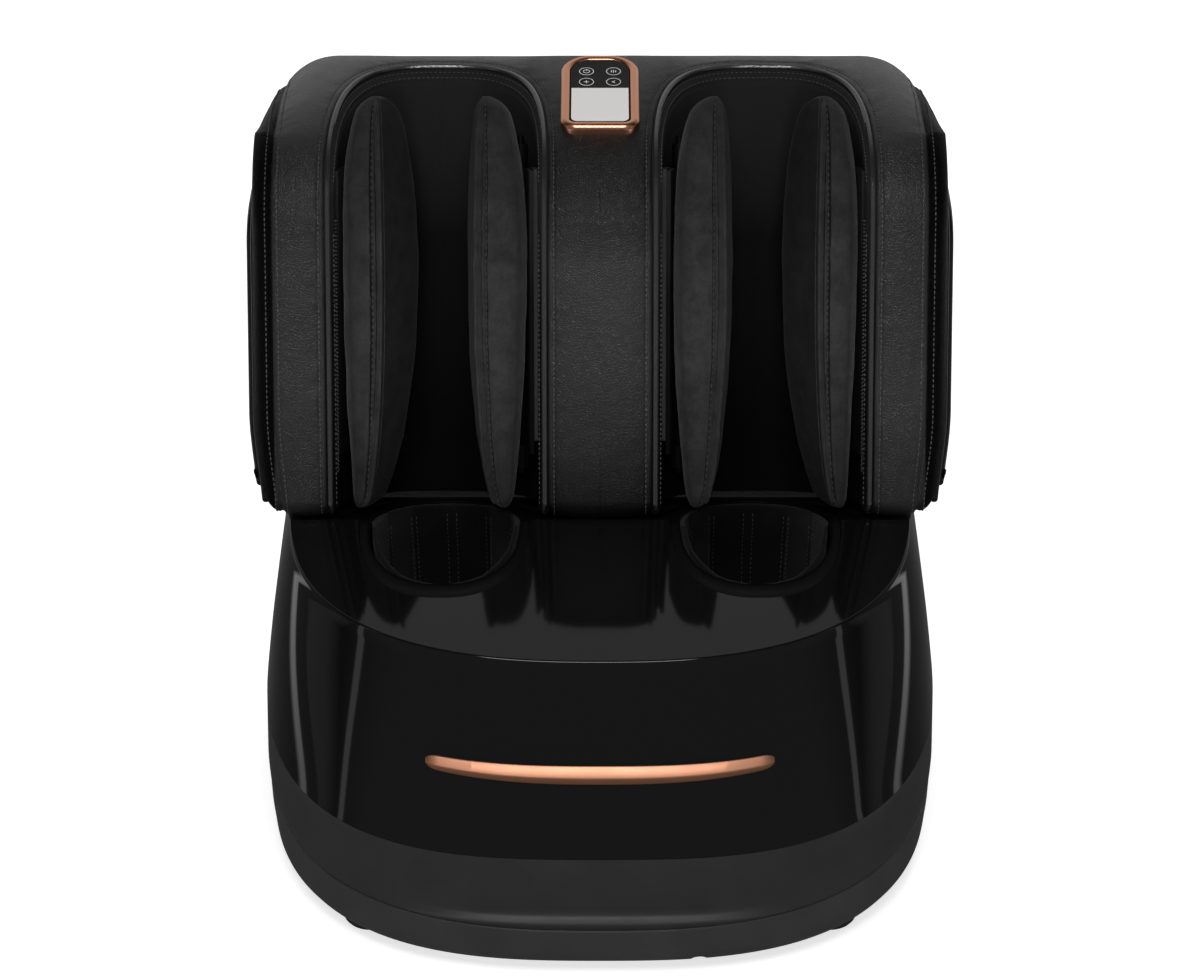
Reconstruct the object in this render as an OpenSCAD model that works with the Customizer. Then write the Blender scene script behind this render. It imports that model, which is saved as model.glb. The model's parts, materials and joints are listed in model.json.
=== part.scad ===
// Foot and calf massager: a base with two foot openings and a tilting calf unit with two leg wells.
// Millimetres, +Z up, the front faces -Y. The origin lies on the floor under the middle of the box.

/* [Base] */
// Width of the base at its widest line
base_w = 472; // [455:1:490]
// Reach of the base in front of the deck's crease
base_front = 238; // [230:1:250]
// Reach of the base behind the deck's crease
base_rear = 230; // [225:1:240]
// Height of the seam between pan and skirt
seam_z = 40; // [36:1:46]
// Height of the skirt's top edge below the crease
skirt_z = 112; // [104:1:120]
// Height of the deck at its crease
deck_z = 215; // [208:1:222]
// Width of the deck at its edge
deck_w = 434; // [420:1:440]
// Reach of the deck in front of its crease
deck_front = 148; // [142:1:154]
// Slope of the deck and of the skirt's top edge, in degrees
deck_slope = 8; // [6:1:10]
// Wall of the moulded shells
shell_wall = 3; // [2.5:0.5:4]
// Height of a rubber foot below the pan
foot_h = 9; // [7:1:12]
// Diameter of a rubber foot
foot_d = 34; // [28:1:40]

/* [Foot openings] */
// Distance between the centres of the two foot openings
foot_pitch = 217; // [212:1:222]
// Width of a foot opening
opening_w = 105; // [96:1:110]
// Reach of a foot opening in front of the crease
opening_front = 64; // [58:1:68]
// Reach of a foot opening behind the crease
opening_rear = 98; // [90:1:100]
// Thickness of the quilted boot
boot_t = 2.5; // [2:0.5:4]
// Lengthwise channels round a boot
boot_channels = 12; // [8:4:16]
// Width of the collar at the sides of a foot opening
collar_w = 7; // [5:0.5:9]
// Width of the collar's ledge in front of a foot opening
collar_front = 19; // [14:1:22]

/* [Calf unit] */
// Width of the leather body
calf_w = 480; // [470:1:490]
// Height of the calf unit along its front face
calf_h = 316; // [306:1:326]
// Thickness of the calf unit from front to back
calf_t = 187; // [182:1:195]
// Lean of the calf unit in its upright position, in degrees
calf_lean = 22; // [20:1:24]
// Gap between the calf unit and the base
calf_gap = 3; // [2:0.5:4]
// Radius of the shoulders, seen from the front
shoulder_r = 52; // [46:1:60]
// Radius of the lower corners, seen from the front
hip_r = 20; // [14:1:24]
// Radius of the leather's outer front edge
edge_r = 12; // [9:1:14]
// Thickness of the leather and its foam
leather_t = 6; // [5:0.5:7]
// Wall of the inner housing
housing_wall = 4; // [3:0.5:5]

/* [Leg wells and pads] */
// Distance between the centres of the two leg wells
well_pitch = 227; // [222:1:230]
// Width of a leg well
well_w = 151; // [148:1:154]
// Depth of a leg well
well_d = 112; // [108:1:114]
// Thickness of the velour liner
liner_t = 2.5; // [2:0.5:3]
// Thickness of an outer pad
outer_pad_t = 52; // [46:1:53]
// Thickness of an inner pad
inner_pad_t = 43; // [38:1:44]
// Height of a pad from tip to tip
pad_h = 289; // [278:1:292]
// Radius of a pad's hinge rod
pad_rod_r = 2.5; // [2:0.5:3]

/* [Control panel] */
// Width of the panel's bezel
panel_w = 56; // [50:1:62]
// Length of the panel's bezel
panel_l = 99; // [92:1:110]
// Width of the bezel's rim
panel_rim = 7; // [5:0.5:8]

/* [Tilt pivot] */
// Radius of the pivot tube
pivot_r = 8; // [6:0.5:8.5]
// Thickness of a steel tilt bracket
bracket_t = 5; // [4:0.5:6]
// Distance from the side of the narrower body to the middle of a tilt bracket
bracket_inset = 31; // [29:0.5:34]
// Width of a tilt bracket
bracket_w = 34; // [30:1:38]

/* [Foot rollers] */
// Radius of a roller shaft
shaft_r = 4; // [3.5:0.25:5]
// Distance between neighbouring roller shafts
shaft_pitch = 60; // [56:1:66]
// Height of the roller shafts
shaft_z = 40; // [39:0.5:42]
// Outer radius of a massage disc
disc_r = 18; // [15:0.5:19]
// Thickness of a massage disc
disc_t = 11; // [8:1:14]
// Radius of a belt pulley
pulley_r = 12; // [10:0.5:14]

/* [Fits] */
// Gap between pieces that lie on each other
fit = 0.3; // [0.25:0.05:0.35]
// Radial clearance of a turning shaft
running = 0.05; // [0.03:0.01:0.08]

/* [Hidden] */

collar_drop = 1;
plan_n = 64;
plan_mid = 20;
rear_n = 5;
skirt_n = 3;
deck_n = 2.5;
pan_n = 2.6;
pan_low_n = 2.8;
skirt_hw = base_w / 2;
skirt_front = base_front - 23;
slope_bulge = 4;

// The front profile of the calf unit: three arcs that turn from the face to the top
arc_r = [80, 260, 70];
arc_a = [50, 72];
face_w = calf_h - arc_r[0] * sin(arc_a[0]) - arc_r[1] * (sin(arc_a[1]) - sin(arc_a[0]))
    - arc_r[2] * (1 - sin(arc_a[1]));
arc_c0 = [arc_r[0], face_w];
arc_c1 = arc_c0 + (arc_r[1] - arc_r[0]) * [cos(arc_a[0]), -sin(arc_a[0])];
arc_c2 = arc_c1 - (arc_r[1] - arc_r[2]) * [cos(arc_a[1]), -sin(arc_a[1])];
crest_d = arc_c2[0];
rear_roll_r = calf_t - crest_d;
foot_fillet = 10;

// The calf unit turns about the pivot, and its lower back is a drum round it
drum_r = 59;
pivot = [calf_t - drum_r, drum_r];
corner = [2.5, deck_z + calf_gap];
lean = [cos(calf_lean), sin(calf_lean)];
pivot_y = corner[0] + pivot[0] * lean[0] + pivot[1] * lean[1];
pivot_z = corner[1] - pivot[0] * lean[1] + pivot[1] * lean[0];
recline = 20;
rim_z = pivot_z - drum_r * 0.62;
// The rear roll is drawn with a corner every 15 degrees, the nearest 7 degrees off the rearmost point
rear_corner = 7;
roll_centre_y = corner[0] + crest_d * lean[0] + (calf_h - rear_roll_r) * lean[1];
calf_back_y = roll_centre_y + rear_roll_r * cos(rear_corner);
origin_y = (calf_back_y - base_front) / 2;

split_d = 130;
split_w = 70;
split_bottom_d = 30;
rear_screw_w = [100, 250];
well_n = 2.8;
well_x = well_pitch / 2;
foot_x = foot_pitch / 2;
pad_rod = [57, 76];
pad_plate_t = 3;
pad_front_d = 10;
pad_back_d = 74;
panel_angle = 60;
panel_top = 5;
panel_base = -8;
pan_z = foot_h;
bracket_pitch = min(base_w, calf_w - 8) - 2 * bracket_inset;
bracket_x = bracket_pitch / 2;
rear_screw_x = calf_w / 2 - 40;
rear_open_x = calf_w / 2 - 50;
bracket_screw_x = bracket_x - 17;
bracket_screw_y = [-14, 14];
shaft_y = [-2 * shaft_pitch, -shaft_pitch, 0];
belt_x = 27;
frame_x = [-172, -34, 34, 172];
frame_plate = 6;
bush_r = shaft_r + 2.5;

function spow(v, p) = sign(v) * pow(abs(v), p);
function lerp(a, b, t) = a + (b - a) * t;
function arc(c, r, a0, a1, n) = [for (i = [0 : n]) let (a = lerp(a0, a1, i / n)) c + r * [cos(a), sin(a)]];

// ---------- Shapes that are used again ----------

// Faces of the wall between rings of n points, from the first point number on
function ring_walls(m, n, first = 0) = [
    for (j = [0 : m - 2], i = [0 : n - 1])
        let (a = first + j * n + i, b = first + j * n + (i + 1) % n)
            each [[a, a + n, b + n], [a, b + n, b]]
];
function flipped(faces) = [for (f = faces) [for (i = [len(f) - 1 : -1 : 0]) f[i]]];
function ring_cap(n, first = 0) = [[for (i = [0 : n - 1]) first + i]];

// Closed solid through rings that run anticlockwise, seen from the last ring
module skin(rings) {
    n = len(rings[0]);
    m = len(rings);
    polyhedron(
        points = [for (r = rings) each r],
        faces = concat(ring_cap(n), ring_walls(m, n), flipped(ring_cap(n, (m - 1) * n)))
    );
}

// Sock: an outer and an inner skin, joined at the mouth and closed at the toe
module sock(outer, inner) {
    n = len(outer[0]);
    m = len(outer);
    k = n * m;
    mouth = [for (i = [0 : n - 1]) let (b = (i + 1) % n) each [[i, b, k + b], [i, k + b, k + i]]];
    polyhedron(
        points = concat([for (r = outer) each r], [for (r = inner) each r]),
        faces = concat(
            mouth, ring_walls(m, n), flipped(ring_cap(n, k - n)),
            flipped(ring_walls(m, n, k)), ring_cap(n, 2 * k - n)
        )
    );
}

// Bent sheet: each ring holds the outer points and then the inner points backwards
module sheet(rings) {
    n = len(rings[0]);
    m = len(rings);
    strip = [for (j = [0 : n / 2 - 2]) each [[j, j + 1, n - 2 - j], [j, n - 2 - j, n - 1 - j]]];
    last = (m - 1) * n;
    polyhedron(
        points = [for (r = rings) each r],
        faces = concat(strip, ring_walls(m, n), flipped([for (f = strip) [for (v = f) v + last]]))
    );
}

module placed() {
    translate([0, -origin_y, 0]) children();
}

// Frame of the calf unit: X across, Y into its thickness, Z up along its front face
module on_calf() {
    placed() translate([0, corner[0], corner[1]]) rotate([-calf_lean, 0, 0]) children();
}

module both_sides() {
    children();
    mirror([1, 0, 0]) children();
}

module along_x(x0, x1, at, r) {
    translate([x0, at[0], at[1]]) rotate([0, 90, 0]) cylinder(h = x1 - x0, r = r, $fn = 64);
}

// Prism along X of an outline given as [y, z] points
module prism_x(x0, x1, outline) {
    translate([x0, 0, 0]) rotate([90, 0, 90]) linear_extrude(height = x1 - x0) polygon(outline);
}

function round_rect(w, l, r_low, r_high) = concat(
    arc([w / 2 - r_low, -l / 2 + r_low], r_low, -90, 0, 6),
    arc([w / 2 - r_high, l / 2 - r_high], r_high, 0, 90, 6),
    arc([-w / 2 + r_high, l / 2 - r_high], r_high, 90, 180, 6),
    arc([-w / 2 + r_low, -l / 2 + r_low], r_low, 180, 270, 6)
);
function at_height(outline, z) = [for (p = outline) [p[0], p[1], z]];

// ---------- Base shells ----------

function plan_ring(hw, front, n, z, slope, inset = 0, rear = base_rear) = [
    for (i = [0 : plan_n - 1])
        let (
            a = 360 * i / plan_n,
            e = sin(a) < 0 ? n : rear_n,
            reach = sin(a) < 0 ? front + plan_mid : rear - plan_mid,
            x = (hw - inset) * spow(cos(a), 2 / e),
            y = plan_mid + (reach - inset) * spow(sin(a), 2 / e)
        )
        [x, y, z + y * tan(slope)]
];

// The glossy flank between the skirt's top edge (t = 0) and the deck's edge (t = 1)
function flank_hw(t) = lerp(skirt_hw, deck_w / 2, t) + slope_bulge * sin(180 * t) / 2;
function flank_front(t) = lerp(skirt_front, deck_front, t) + slope_bulge * sin(180 * t);
function flank_n(t) = lerp(skirt_n, deck_n, t);
function flank_z(t) = lerp(skirt_z, deck_z, t);
function flank_ring(t, inset = 0, drop = 0) =
    plan_ring(flank_hw(t), flank_front(t), flank_n(t), flank_z(t) - drop, deck_slope, inset,
        base_rear - 4 * t);
function flank_point(x, t, out = 0) =
    let (
        n = flank_n(t),
        y = plan_mid - (flank_front(t) + plan_mid) * pow(1 - pow(abs(x) / flank_hw(t), n), 1 / n)
    )
    [x, y - out * 0.87, flank_z(t) + y * tan(deck_slope) + out * 0.5];

// What the calf unit needs free: its bottom plane, its drum and the way back over the rear rim
module calf_room(grow = 0) {
    gap = calf_gap + grow;
    reach = base_w / 2 + 20;
    translate([0, corner[0], corner[1]]) rotate([-calf_lean, 0, 0]) {
        translate([-reach, -60, -gap]) cube([2 * reach, 60 + pivot[0], 200]);
        along_x(-reach, reach, pivot, drum_r + gap);
    }
    translate([-reach, pivot_y, rim_z - grow]) cube([2 * reach, 200, 200]);
}

module shell_body(inset, drop) {
    skin([for (t = [0, 0.25, 0.5, 0.75, 1]) flank_ring(t, inset, drop)]);
}

function opening_outline(grow, grow_front) = [
    for (i = [0 : 35])
        let (a = 10 * i, reach = sin(a) < 0 ? opening_front + grow_front : opening_rear + grow)
            [(opening_w / 2 + grow) * spow(cos(a), 0.8), reach * spow(sin(a), 0.9)]
];

module foot_holes() {
    both_sides() translate([foot_x, 0, 60]) linear_extrude(height = 200)
        polygon(opening_outline(collar_w + fit, collar_front + fit));
}

module bracket_slots() {
    both_sides() translate([bracket_x - bracket_t / 2 - 1, pivot_y - bracket_w / 2 - 1, 60])
        cube([bracket_t + 2, bracket_w + 2, 120]);
}

module upper_shell() {
    color("#0b0b0c") placed() difference() {
        difference() {
            shell_body(0, 0);
            calf_room();
        }
        difference() {
            translate([0, 0, -0.01]) shell_body(shell_wall, shell_wall);
            calf_room(shell_wall);
        }
        foot_holes();
        bracket_slots();
    }
}

module lower_skirt() {
    levels = [
        [skirt_hw + 2, base_front, pan_n, seam_z + fit, 0],
        [skirt_hw + 2, base_front - 9, 2.8, seam_z + 22, deck_slope / 2],
        [skirt_hw, skirt_front, skirt_n, skirt_z - fit, deck_slope]
    ];
    color("#1d1e20") placed() difference() {
        skin([for (l = levels) plan_ring(l[0], l[1], l[2], l[3], l[4])]);
        skin([
            for (i = [0 : 2])
                let (l = levels[i]) plan_ring(l[0], l[1], l[2], l[3] + i - 1, l[4], shell_wall)
        ]);
        translate([-74, base_rear - 20, 58]) cube([148, 40, 64]);
    }
}

foot_places = [[157, -168], [-157, -168], [168, 170], [-168, 170]];

module base_pan() {
    notch_x = 66;
    color("#222326") placed() difference() {
        union() {
            difference() {
                skin([
                    plan_ring(skirt_hw - 8, base_front - 10, pan_low_n, pan_z, 0, 0, base_rear - 8),
                    plan_ring(skirt_hw - 1, base_front - 3, pan_low_n, pan_z + 6, 0, 0, base_rear - 2),
                    plan_ring(skirt_hw + 1, base_front - 1, 2.7, seam_z - 12, 0),
                    plan_ring(skirt_hw + 2, base_front, pan_n, seam_z, 0)
                ]);
                skin([
                    plan_ring(skirt_hw - 6, base_front - 8, pan_low_n, pan_z + 3, 0, 3, base_rear - 6),
                    plan_ring(skirt_hw - 1, base_front - 3, 2.7, pan_z + 12, 0, shell_wall, base_rear - 1),
                    plan_ring(skirt_hw + 2, base_front, pan_n, seam_z + 1, 0, shell_wall)
                ]);
            }
            for (x = [-120, -60, 64, 120])
                translate([x - 1.25, 60, pan_z + 1]) cube([2.5, 150, 5]);
        }
        translate([notch_x, -base_front - 1, pan_z - 1]) rotate([-90, 0, 0])
            cylinder(h = 16, r = 6, $fn = 32);
        for (p = foot_places)
            translate([p[0], p[1], pan_z - 1]) cylinder(h = 3, r = foot_d / 2 + fit, $fn = 48);
    }
}

module rubber_feet() {
    color("#101010") placed() for (p = foot_places) translate([p[0], p[1], 0]) {
        difference() {
            union() {
                cylinder(h = pan_z + 2 - fit, r = foot_d / 2, $fn = 48);
                translate([0, 0, 2]) cylinder(h = pan_z - 3, r = foot_d / 2 + 1.5, $fn = 48);
            }
            translate([0, 0, -1]) cylinder(h = 4, r = 5, $fn = 32);
        }
    }
}

module front_trim_bar() {
    half = 116;
    mid = 0.445;
    band = 0.047;
    stations = [-half, -half + 2, -half + 7, -90, -60, -30, 0, 30, 60, 90, half - 7, half - 2, half];
    function swell(x) = let (e = (half - abs(x)) / 9) e >= 1 ? 1 : 0.35 + 0.65 * sqrt(1 - (1 - e) * (1 - e));
    function bar_ring(x) =
        let (
            off = pow(x / half, 2),
            b = band * swell(x) * (1 - 0.25 * off),
            m = mid + 0.015 * off,
            out = 3 * swell(x)
        )
        [
            flank_point(x, m - b, fit), flank_point(x, m - b, fit + out * 0.5),
            flank_point(x, m - 0.3 * b, fit + out), flank_point(x, m + b, fit + out * 0.5),
            flank_point(x, m + b, fit)
        ];
    color("#c98463") placed() skin([for (x = stations) bar_ring(x)]);
}

module foot_collar(side) {
    difference() {
        intersection() {
            shell_body(0, collar_drop);
            translate([side * foot_x, 0, 100]) linear_extrude(height = 140)
                polygon(opening_outline(collar_w, collar_front));
        }
        shell_body(0, 6);
        calf_room();
        translate([side * foot_x, 0, 60]) linear_extrude(height = 200) polygon(opening_outline(0, 0));
    }
}

module foot_collar_left() {
    color("#141416") placed() foot_collar(-1);
}

module foot_collar_right() {
    color("#141416") placed() foot_collar(1);
}

// ---------- Foot boots ----------

// Each station of a boot: [instep y, instep z, sole y, sole z, half width]
boot_stations = [
    [-opening_front, 0, opening_rear, 0, opening_w / 2],
    [-opening_front + 1, 186, opening_rear - 1, 158, opening_w / 2],
    [-opening_front - 2, 174, opening_rear + 6, 120, 52],
    [-opening_front - 8, 168, opening_rear, 74, 50],
    [-opening_front - 14, 164, 40, 62, 49],
    [-opening_front - 24, 160, -28, 62, 49],
    [-108, 152, -84, 62, 50],
    [-136, 140, -124, 62, 50],
    [-164, 124, -160, 62, 46],
    [-182, 104, -182, 66, 36],
    [-190, 92, -190, 74, 20]
];

function top_z(y) = y < 0 ? deck_z + y * tan(deck_slope) : deck_z - y * tan(calf_lean);

function boot_ring(k, side, inset) =
    let (
        s = boot_stations[k],
        mid = [s[0] + s[2], s[1] + s[3]] / 2,
        half = [s[2] - s[0], s[3] - s[1]] / 2,
        reach = norm(half) - inset,
        toe = k == len(boot_stations) - 1 ? inset - fit : 0
    )
    [
        for (i = [0 : 23])
            let (
                a = -360 * i / 24,
                quilt = k == 0 ? 0 : 0.9 * abs(cos(boot_channels * a / 2)) - 0.9,
                u = (reach + quilt) * spow(sin(a), 0.9),
                x = (s[4] - inset + quilt) * spow(cos(a), 0.85),
                y = mid[0] + u * half[0] / norm(half),
                z = mid[1] + u * half[1] / norm(half)
            )
            [side * foot_x + x, y + toe, k == 0 ? top_z(y) - calf_gap - 2 : z]
    ];

module foot_boot(side) {
    count = len(boot_stations) - 1;
    sock(
        [for (k = [0 : count]) boot_ring(k, side, fit)],
        [for (k = [0 : count]) boot_ring(k, side, fit + boot_t)]
    );
}

module foot_boot_left() {
    color("#2a2a2b") placed() foot_boot(-1);
}

module foot_boot_right() {
    color("#2a2a2b") placed() foot_boot(1);
}

// ---------- Service panel on the rear ----------

panel_y = base_rear + fit;
service_panel_t = 3;
vent_slot_w = 3.5;
vent_pitch = 8;
// Windows in the panel: [left x, bottom z, width, height]
inlet_window = [20, 76, 28, 20];
switch_window = [58, 78, 14, 20];

module window_block(window, inset, y, depth) {
    translate([window[0] + inset, y, window[1] + inset])
        cube([window[2] - 2 * inset, depth, window[3] - 2 * inset]);
}

module rear_service_panel() {
    color("#202124") placed() difference() {
        translate([-82, panel_y, 53]) cube([164, service_panel_t, 74]);
        for (i = [0 : 8])
            translate([-72 + vent_pitch * i, panel_y - 1, 66]) cube([vent_slot_w, 6, 48]);
        window_block(inlet_window, 0, panel_y - 1, 6);
        window_block(switch_window, 0, panel_y - 1, 6);
    }
}

module power_inlet() {
    color("#0d0d0d") placed() difference() {
        union() {
            window_block(inlet_window, fit, panel_y - 22, 26);
            translate([16, panel_y + service_panel_t + fit, 73]) cube([36, 2, 26]);
        }
        window_block(inlet_window, 3, panel_y - 12, 20);
    }
    color("silver") placed() for (i = [-1 : 1])
        translate([34 + 7 * i - 1, panel_y - 13, 84 + (i == 0 ? 3 : 0)]) cube([2, 12, 4]);
}

switch_at = [65, base_rear + fit + 2, 88];

module power_switch_frame() {
    color("#0d0d0d") placed() difference() {
        union() {
            window_block(switch_window, fit, panel_y - 14, 18);
            translate([56, panel_y + service_panel_t + fit, 76]) cube([18, 1.5, 24]);
        }
        window_block(switch_window, 2, panel_y - 10, 20);
    }
}

module power_switch_rocker() {
    rest_tilt = 7;
    color("#1c1c1c") placed() translate(switch_at) rotate([rest_tilt, 0, 0]) difference() {
        union() {
            intersection() {
                along_x(fit - 5, 5 - fit, [0, 0], 7.4);
                translate([-5, -4, -8]) cube([10, 8, 16]);
            }
            along_x(fit - 5, 5 - fit, [-2, 0], 3);
        }
        along_x(-6, 6, [24, 0], 20);
    }
}

// ---------- Foot roller mechanism ----------

module roller_frame() {
    color("#8b8f94") placed() difference() {
        union() {
            for (x = frame_x) translate([x - frame_plate / 2, shaft_y[0] - 24, pan_z + 3 + fit])
                cube([frame_plate, 48 - shaft_y[0], shaft_z + 10 - pan_z]);
            for (y = [shaft_y[0] - 24, shaft_y[2] + 16]) translate([frame_x[0], y, pan_z + 3 + fit])
                cube([frame_x[3] - frame_x[0], 8, 5]);
        }
        for (y = shaft_y) along_x(-180, 180, [y, shaft_z], bush_r);
    }
}

module shaft_bushes() {
    color("#c9a35a") placed() for (x = frame_x, y = shaft_y) difference() {
        union() {
            along_x(x - frame_plate / 2, x + frame_plate / 2, [y, shaft_z], bush_r);
            along_x(x + frame_plate / 2, x + frame_plate / 2 + 1.5, [y, shaft_z], bush_r + 2);
        }
        along_x(x - 10, x + 10, [y, shaft_z], shaft_r + running);
    }
}

module massage_disc(y, x) {
    lobes = [
        for (i = [0 : 35])
            (disc_r - 1.8 + 1.8 * cos(60 * i)) * [cos(10 * i), sin(10 * i)]
    ];
    translate([x - disc_t / 2, y, shaft_z]) rotate([0, 90, 0])
        linear_extrude(height = disc_t) polygon(lobes);
}

module roller_shaft(k, belts) {
    y = shaft_y[k];
    disc_pitch = 20;
    color("#b8bcc0") placed() along_x(frame_x[0] - 8, frame_x[3] + 8, [y, shaft_z], shaft_r);
    color("#3a3c40") placed() both_sides() for (i = [-2 : 2]) difference() {
        massage_disc(y, foot_x + disc_pitch * i);
        along_x(0, 200, [y, shaft_z], shaft_r);
    }
    color("#5a5c60") placed() for (x = belts) difference() {
        union() {
            along_x(x - 4, x + 4, [y, shaft_z], pulley_r);
            for (e = [-5, 4]) along_x(x + e, x + e + 1, [y, shaft_z], pulley_r + 2);
        }
        along_x(x - 6, x + 6, [y, shaft_z], shaft_r);
    }
}

module roller_shaft_front() {
    roller_shaft(0, [-belt_x + 5]);
}

module roller_shaft_middle() {
    roller_shaft(1, [-belt_x + 5, belt_x - 5]);
}

module roller_shaft_rear() {
    roller_shaft(2, [belt_x - 5]);
}

module belt_loop(x, y0, y1) {
    inner = pulley_r + fit;
    module loop(r, half) {
        along_x(x - half, x + half, [y0, shaft_z], r);
        along_x(x - half, x + half, [y1, shaft_z], r);
        translate([x - half, y0, shaft_z - r]) cube([2 * half, y1 - y0, 2 * r]);
    }
    difference() {
        loop(inner + 1.4, 3.5);
        loop(inner, 5);
    }
}

module drive_belts() {
    color("#161616") placed() {
        belt_loop(-belt_x + 5, shaft_y[0], shaft_y[1]);
        belt_loop(belt_x - 5, shaft_y[1], shaft_y[2]);
    }
}

module gear_motor() {
    y = shaft_y[1];
    color("#74787d") placed() difference() {
        union() {
            translate([-14, y - 26, pan_z + 3 + fit]) cube([28, 52, 54]);
            translate([0, y, pan_z + 57]) cylinder(h = 6, r = 14, $fn = 48);
            translate([0, y, pan_z + 63]) cylinder(h = 58, r = 19, $fn = 64);
            translate([0, y, pan_z + 121]) cylinder(h = 4, r = 8, $fn = 48);
        }
        along_x(-30, 30, [y, shaft_z], shaft_r + running);
    }
}

// ---------- Air and power in the rear of the base ----------

floor_z = pan_z + 3 + fit;
air_y = 128;

pump_foot_h = 5;
pump_body = [64, 58, 34];
pump_port_l = 10;

module air_pump() {
    color("#2d3136") placed() translate([-150, air_y, floor_z]) {
        for (x = [6, pump_body[0] - 6], y = [8, pump_body[1] - 8])
            translate([x, y, 0]) cylinder(h = pump_foot_h, r = 5, $fn = 32);
        translate([0, 0, pump_foot_h]) cube(pump_body);
        for (x = [0.25, 0.75])
            translate([pump_body[0] * x, pump_body[1] / 2, pump_foot_h + pump_body[2]])
                cylinder(h = 14, r = 13, $fn = 48);
        translate([pump_body[0], 20, 20]) rotate([0, 90, 0])
            cylinder(h = pump_port_l, r = 3, $fn = 24);
    }
}

valve_x = [-44, -30, -16, -2];

module valve_block() {
    color("#4b5056") placed() translate([0, air_y, floor_z]) {
        translate([-54, 10, 0]) cube([62, 30, 16]);
        for (x = valve_x) {
            translate([x, 25, 16]) cylinder(h = 22, r = 6, $fn = 32);
            translate([x, 12, 8]) rotate([90, 0, 0]) cylinder(h = 10, r = 2, $fn = 24);
        }
        translate([-54, 20, 20 - 12]) rotate([0, -90, 0]) cylinder(h = 8, r = 3, $fn = 24);
    }
}

// Round hose through hand-set points, 8 sides
function hose_frame(p, i) =
    let (a = p[max(i - 1, 0)], b = p[min(i + 1, len(p) - 1)]) (b - a) / norm(b - a);
function hose_ring(p, i, r) =
    let (
        t = hose_frame(p, i),
        side = abs(t[2]) > 0.9 ? [1, 0, 0] : [0, 0, 1],
        u = cross(side, t) / norm(cross(side, t)),
        v = cross(t, u)
    )
    [for (k = [0 : 7]) p[i] + r * (u * cos(45 * k) + v * sin(45 * k))];

module hose(points, r) {
    skin([for (i = [0 : len(points) - 1]) hose_ring(points, i, r)]);
}

module base_air_hoses() {
    pump_out = [-75.7, air_y + 20, floor_z + 20];
    valve_in = [-62.3, air_y + 20, floor_z + 8];
    color("#c8ccd0") placed() {
        hose([pump_out, pump_out + [4, 0, 0], pump_out + [8, 0, -6], valve_in + [-4, 0, 0], valve_in], 2.6);
        for (i = [0 : 3]) {
            start = [valve_x[i], air_y + 1.7, floor_z + 8];
            bend = [[0, 0, 0], [0, -4, 0], [0, -8, 6], [0, -9, 14], [0, -9, 30 + 6 * i]];
            hose([for (b = bend) start + b], 1.8);
        }
    }
}

board_t = 1.6;

// A board on four pillars, each 5 mm in from a corner
module board(size, pillar_h, pillar_r) {
    for (x = [5, size[0] - 5], y = [5, size[1] - 5])
        translate([x, y, 0]) cylinder(h = pillar_h, r = pillar_r, $fn = 24);
    translate([0, 0, pillar_h]) cube([size[0], size[1], board_t]);
}

module power_supply_board() {
    color("#2f6b3d") placed() translate([70, air_y, floor_z]) board([80, 60], 5, 3);
    color("#c9b458") placed() translate([70, air_y, floor_z + 5 + board_t]) {
        translate([8, 12, 0]) cube([28, 26, 22]);
        translate([48, 14, 0]) cylinder(h = 24, r = 8, $fn = 32);
        translate([48, 40, 0]) cylinder(h = 20, r = 6, $fn = 32);
        translate([60, 10, 0]) cube([3, 40, 26]);
    }
}

module control_board() {
    color("#2f6b3d") placed() translate([14, air_y + 6, floor_z]) board([48, 40], 4, 2.5);
    color("#1a1a1a") placed() translate([14, air_y + 6, floor_z + 4 + board_t]) {
        translate([14, 12, 0]) cube([14, 14, 2]);
        for (i = [0 : 3]) translate([6 + 10 * i, 31, 0]) cube([7, 6, 6]);
        translate([34, 10, 0]) cylinder(h = 10, r = 4, $fn = 32);
    }
}

// ---------- Tilt pivot ----------

module tilt_bracket() {
    x0 = bracket_x - bracket_t / 2;
    flange_w = 27.5;
    difference() {
        union() {
            translate([x0, pivot_y - bracket_w / 2, floor_z])
                cube([bracket_t, bracket_w, pivot_z - floor_z]);
            along_x(x0, x0 + bracket_t, [pivot_y, pivot_z], bracket_w / 2);
            translate([x0 - flange_w, pivot_y - bracket_w / 2 - 7, floor_z])
                cube([flange_w + bracket_t, bracket_w + 14, 4]);
        }
        along_x(x0 - 1, x0 + bracket_t + 1, [pivot_y, pivot_z], pivot_r + running);
        for (y = bracket_screw_y)
            translate([bracket_screw_x, pivot_y + y, floor_z - 1]) cylinder(h = 8, r = 2.75, $fn = 32);
    }
}

module tilt_bracket_left() {
    color("#9a9ea3") placed() mirror([1, 0, 0]) tilt_bracket();
}

module tilt_bracket_right() {
    color("#9a9ea3") placed() tilt_bracket();
}

module screw(h) {
    translate([0, 0, -h]) cylinder(h = h, r = 2, $fn = 24);
    cylinder(h = 2.6, r = 3.8, $fn = 24);
}

module base_screws() {
    color("#a9adb2") placed() both_sides() for (y = bracket_screw_y)
        translate([bracket_screw_x, pivot_y + y, floor_z + 4 + fit]) screw(4);
}

// ---------- Calf unit ----------

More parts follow.
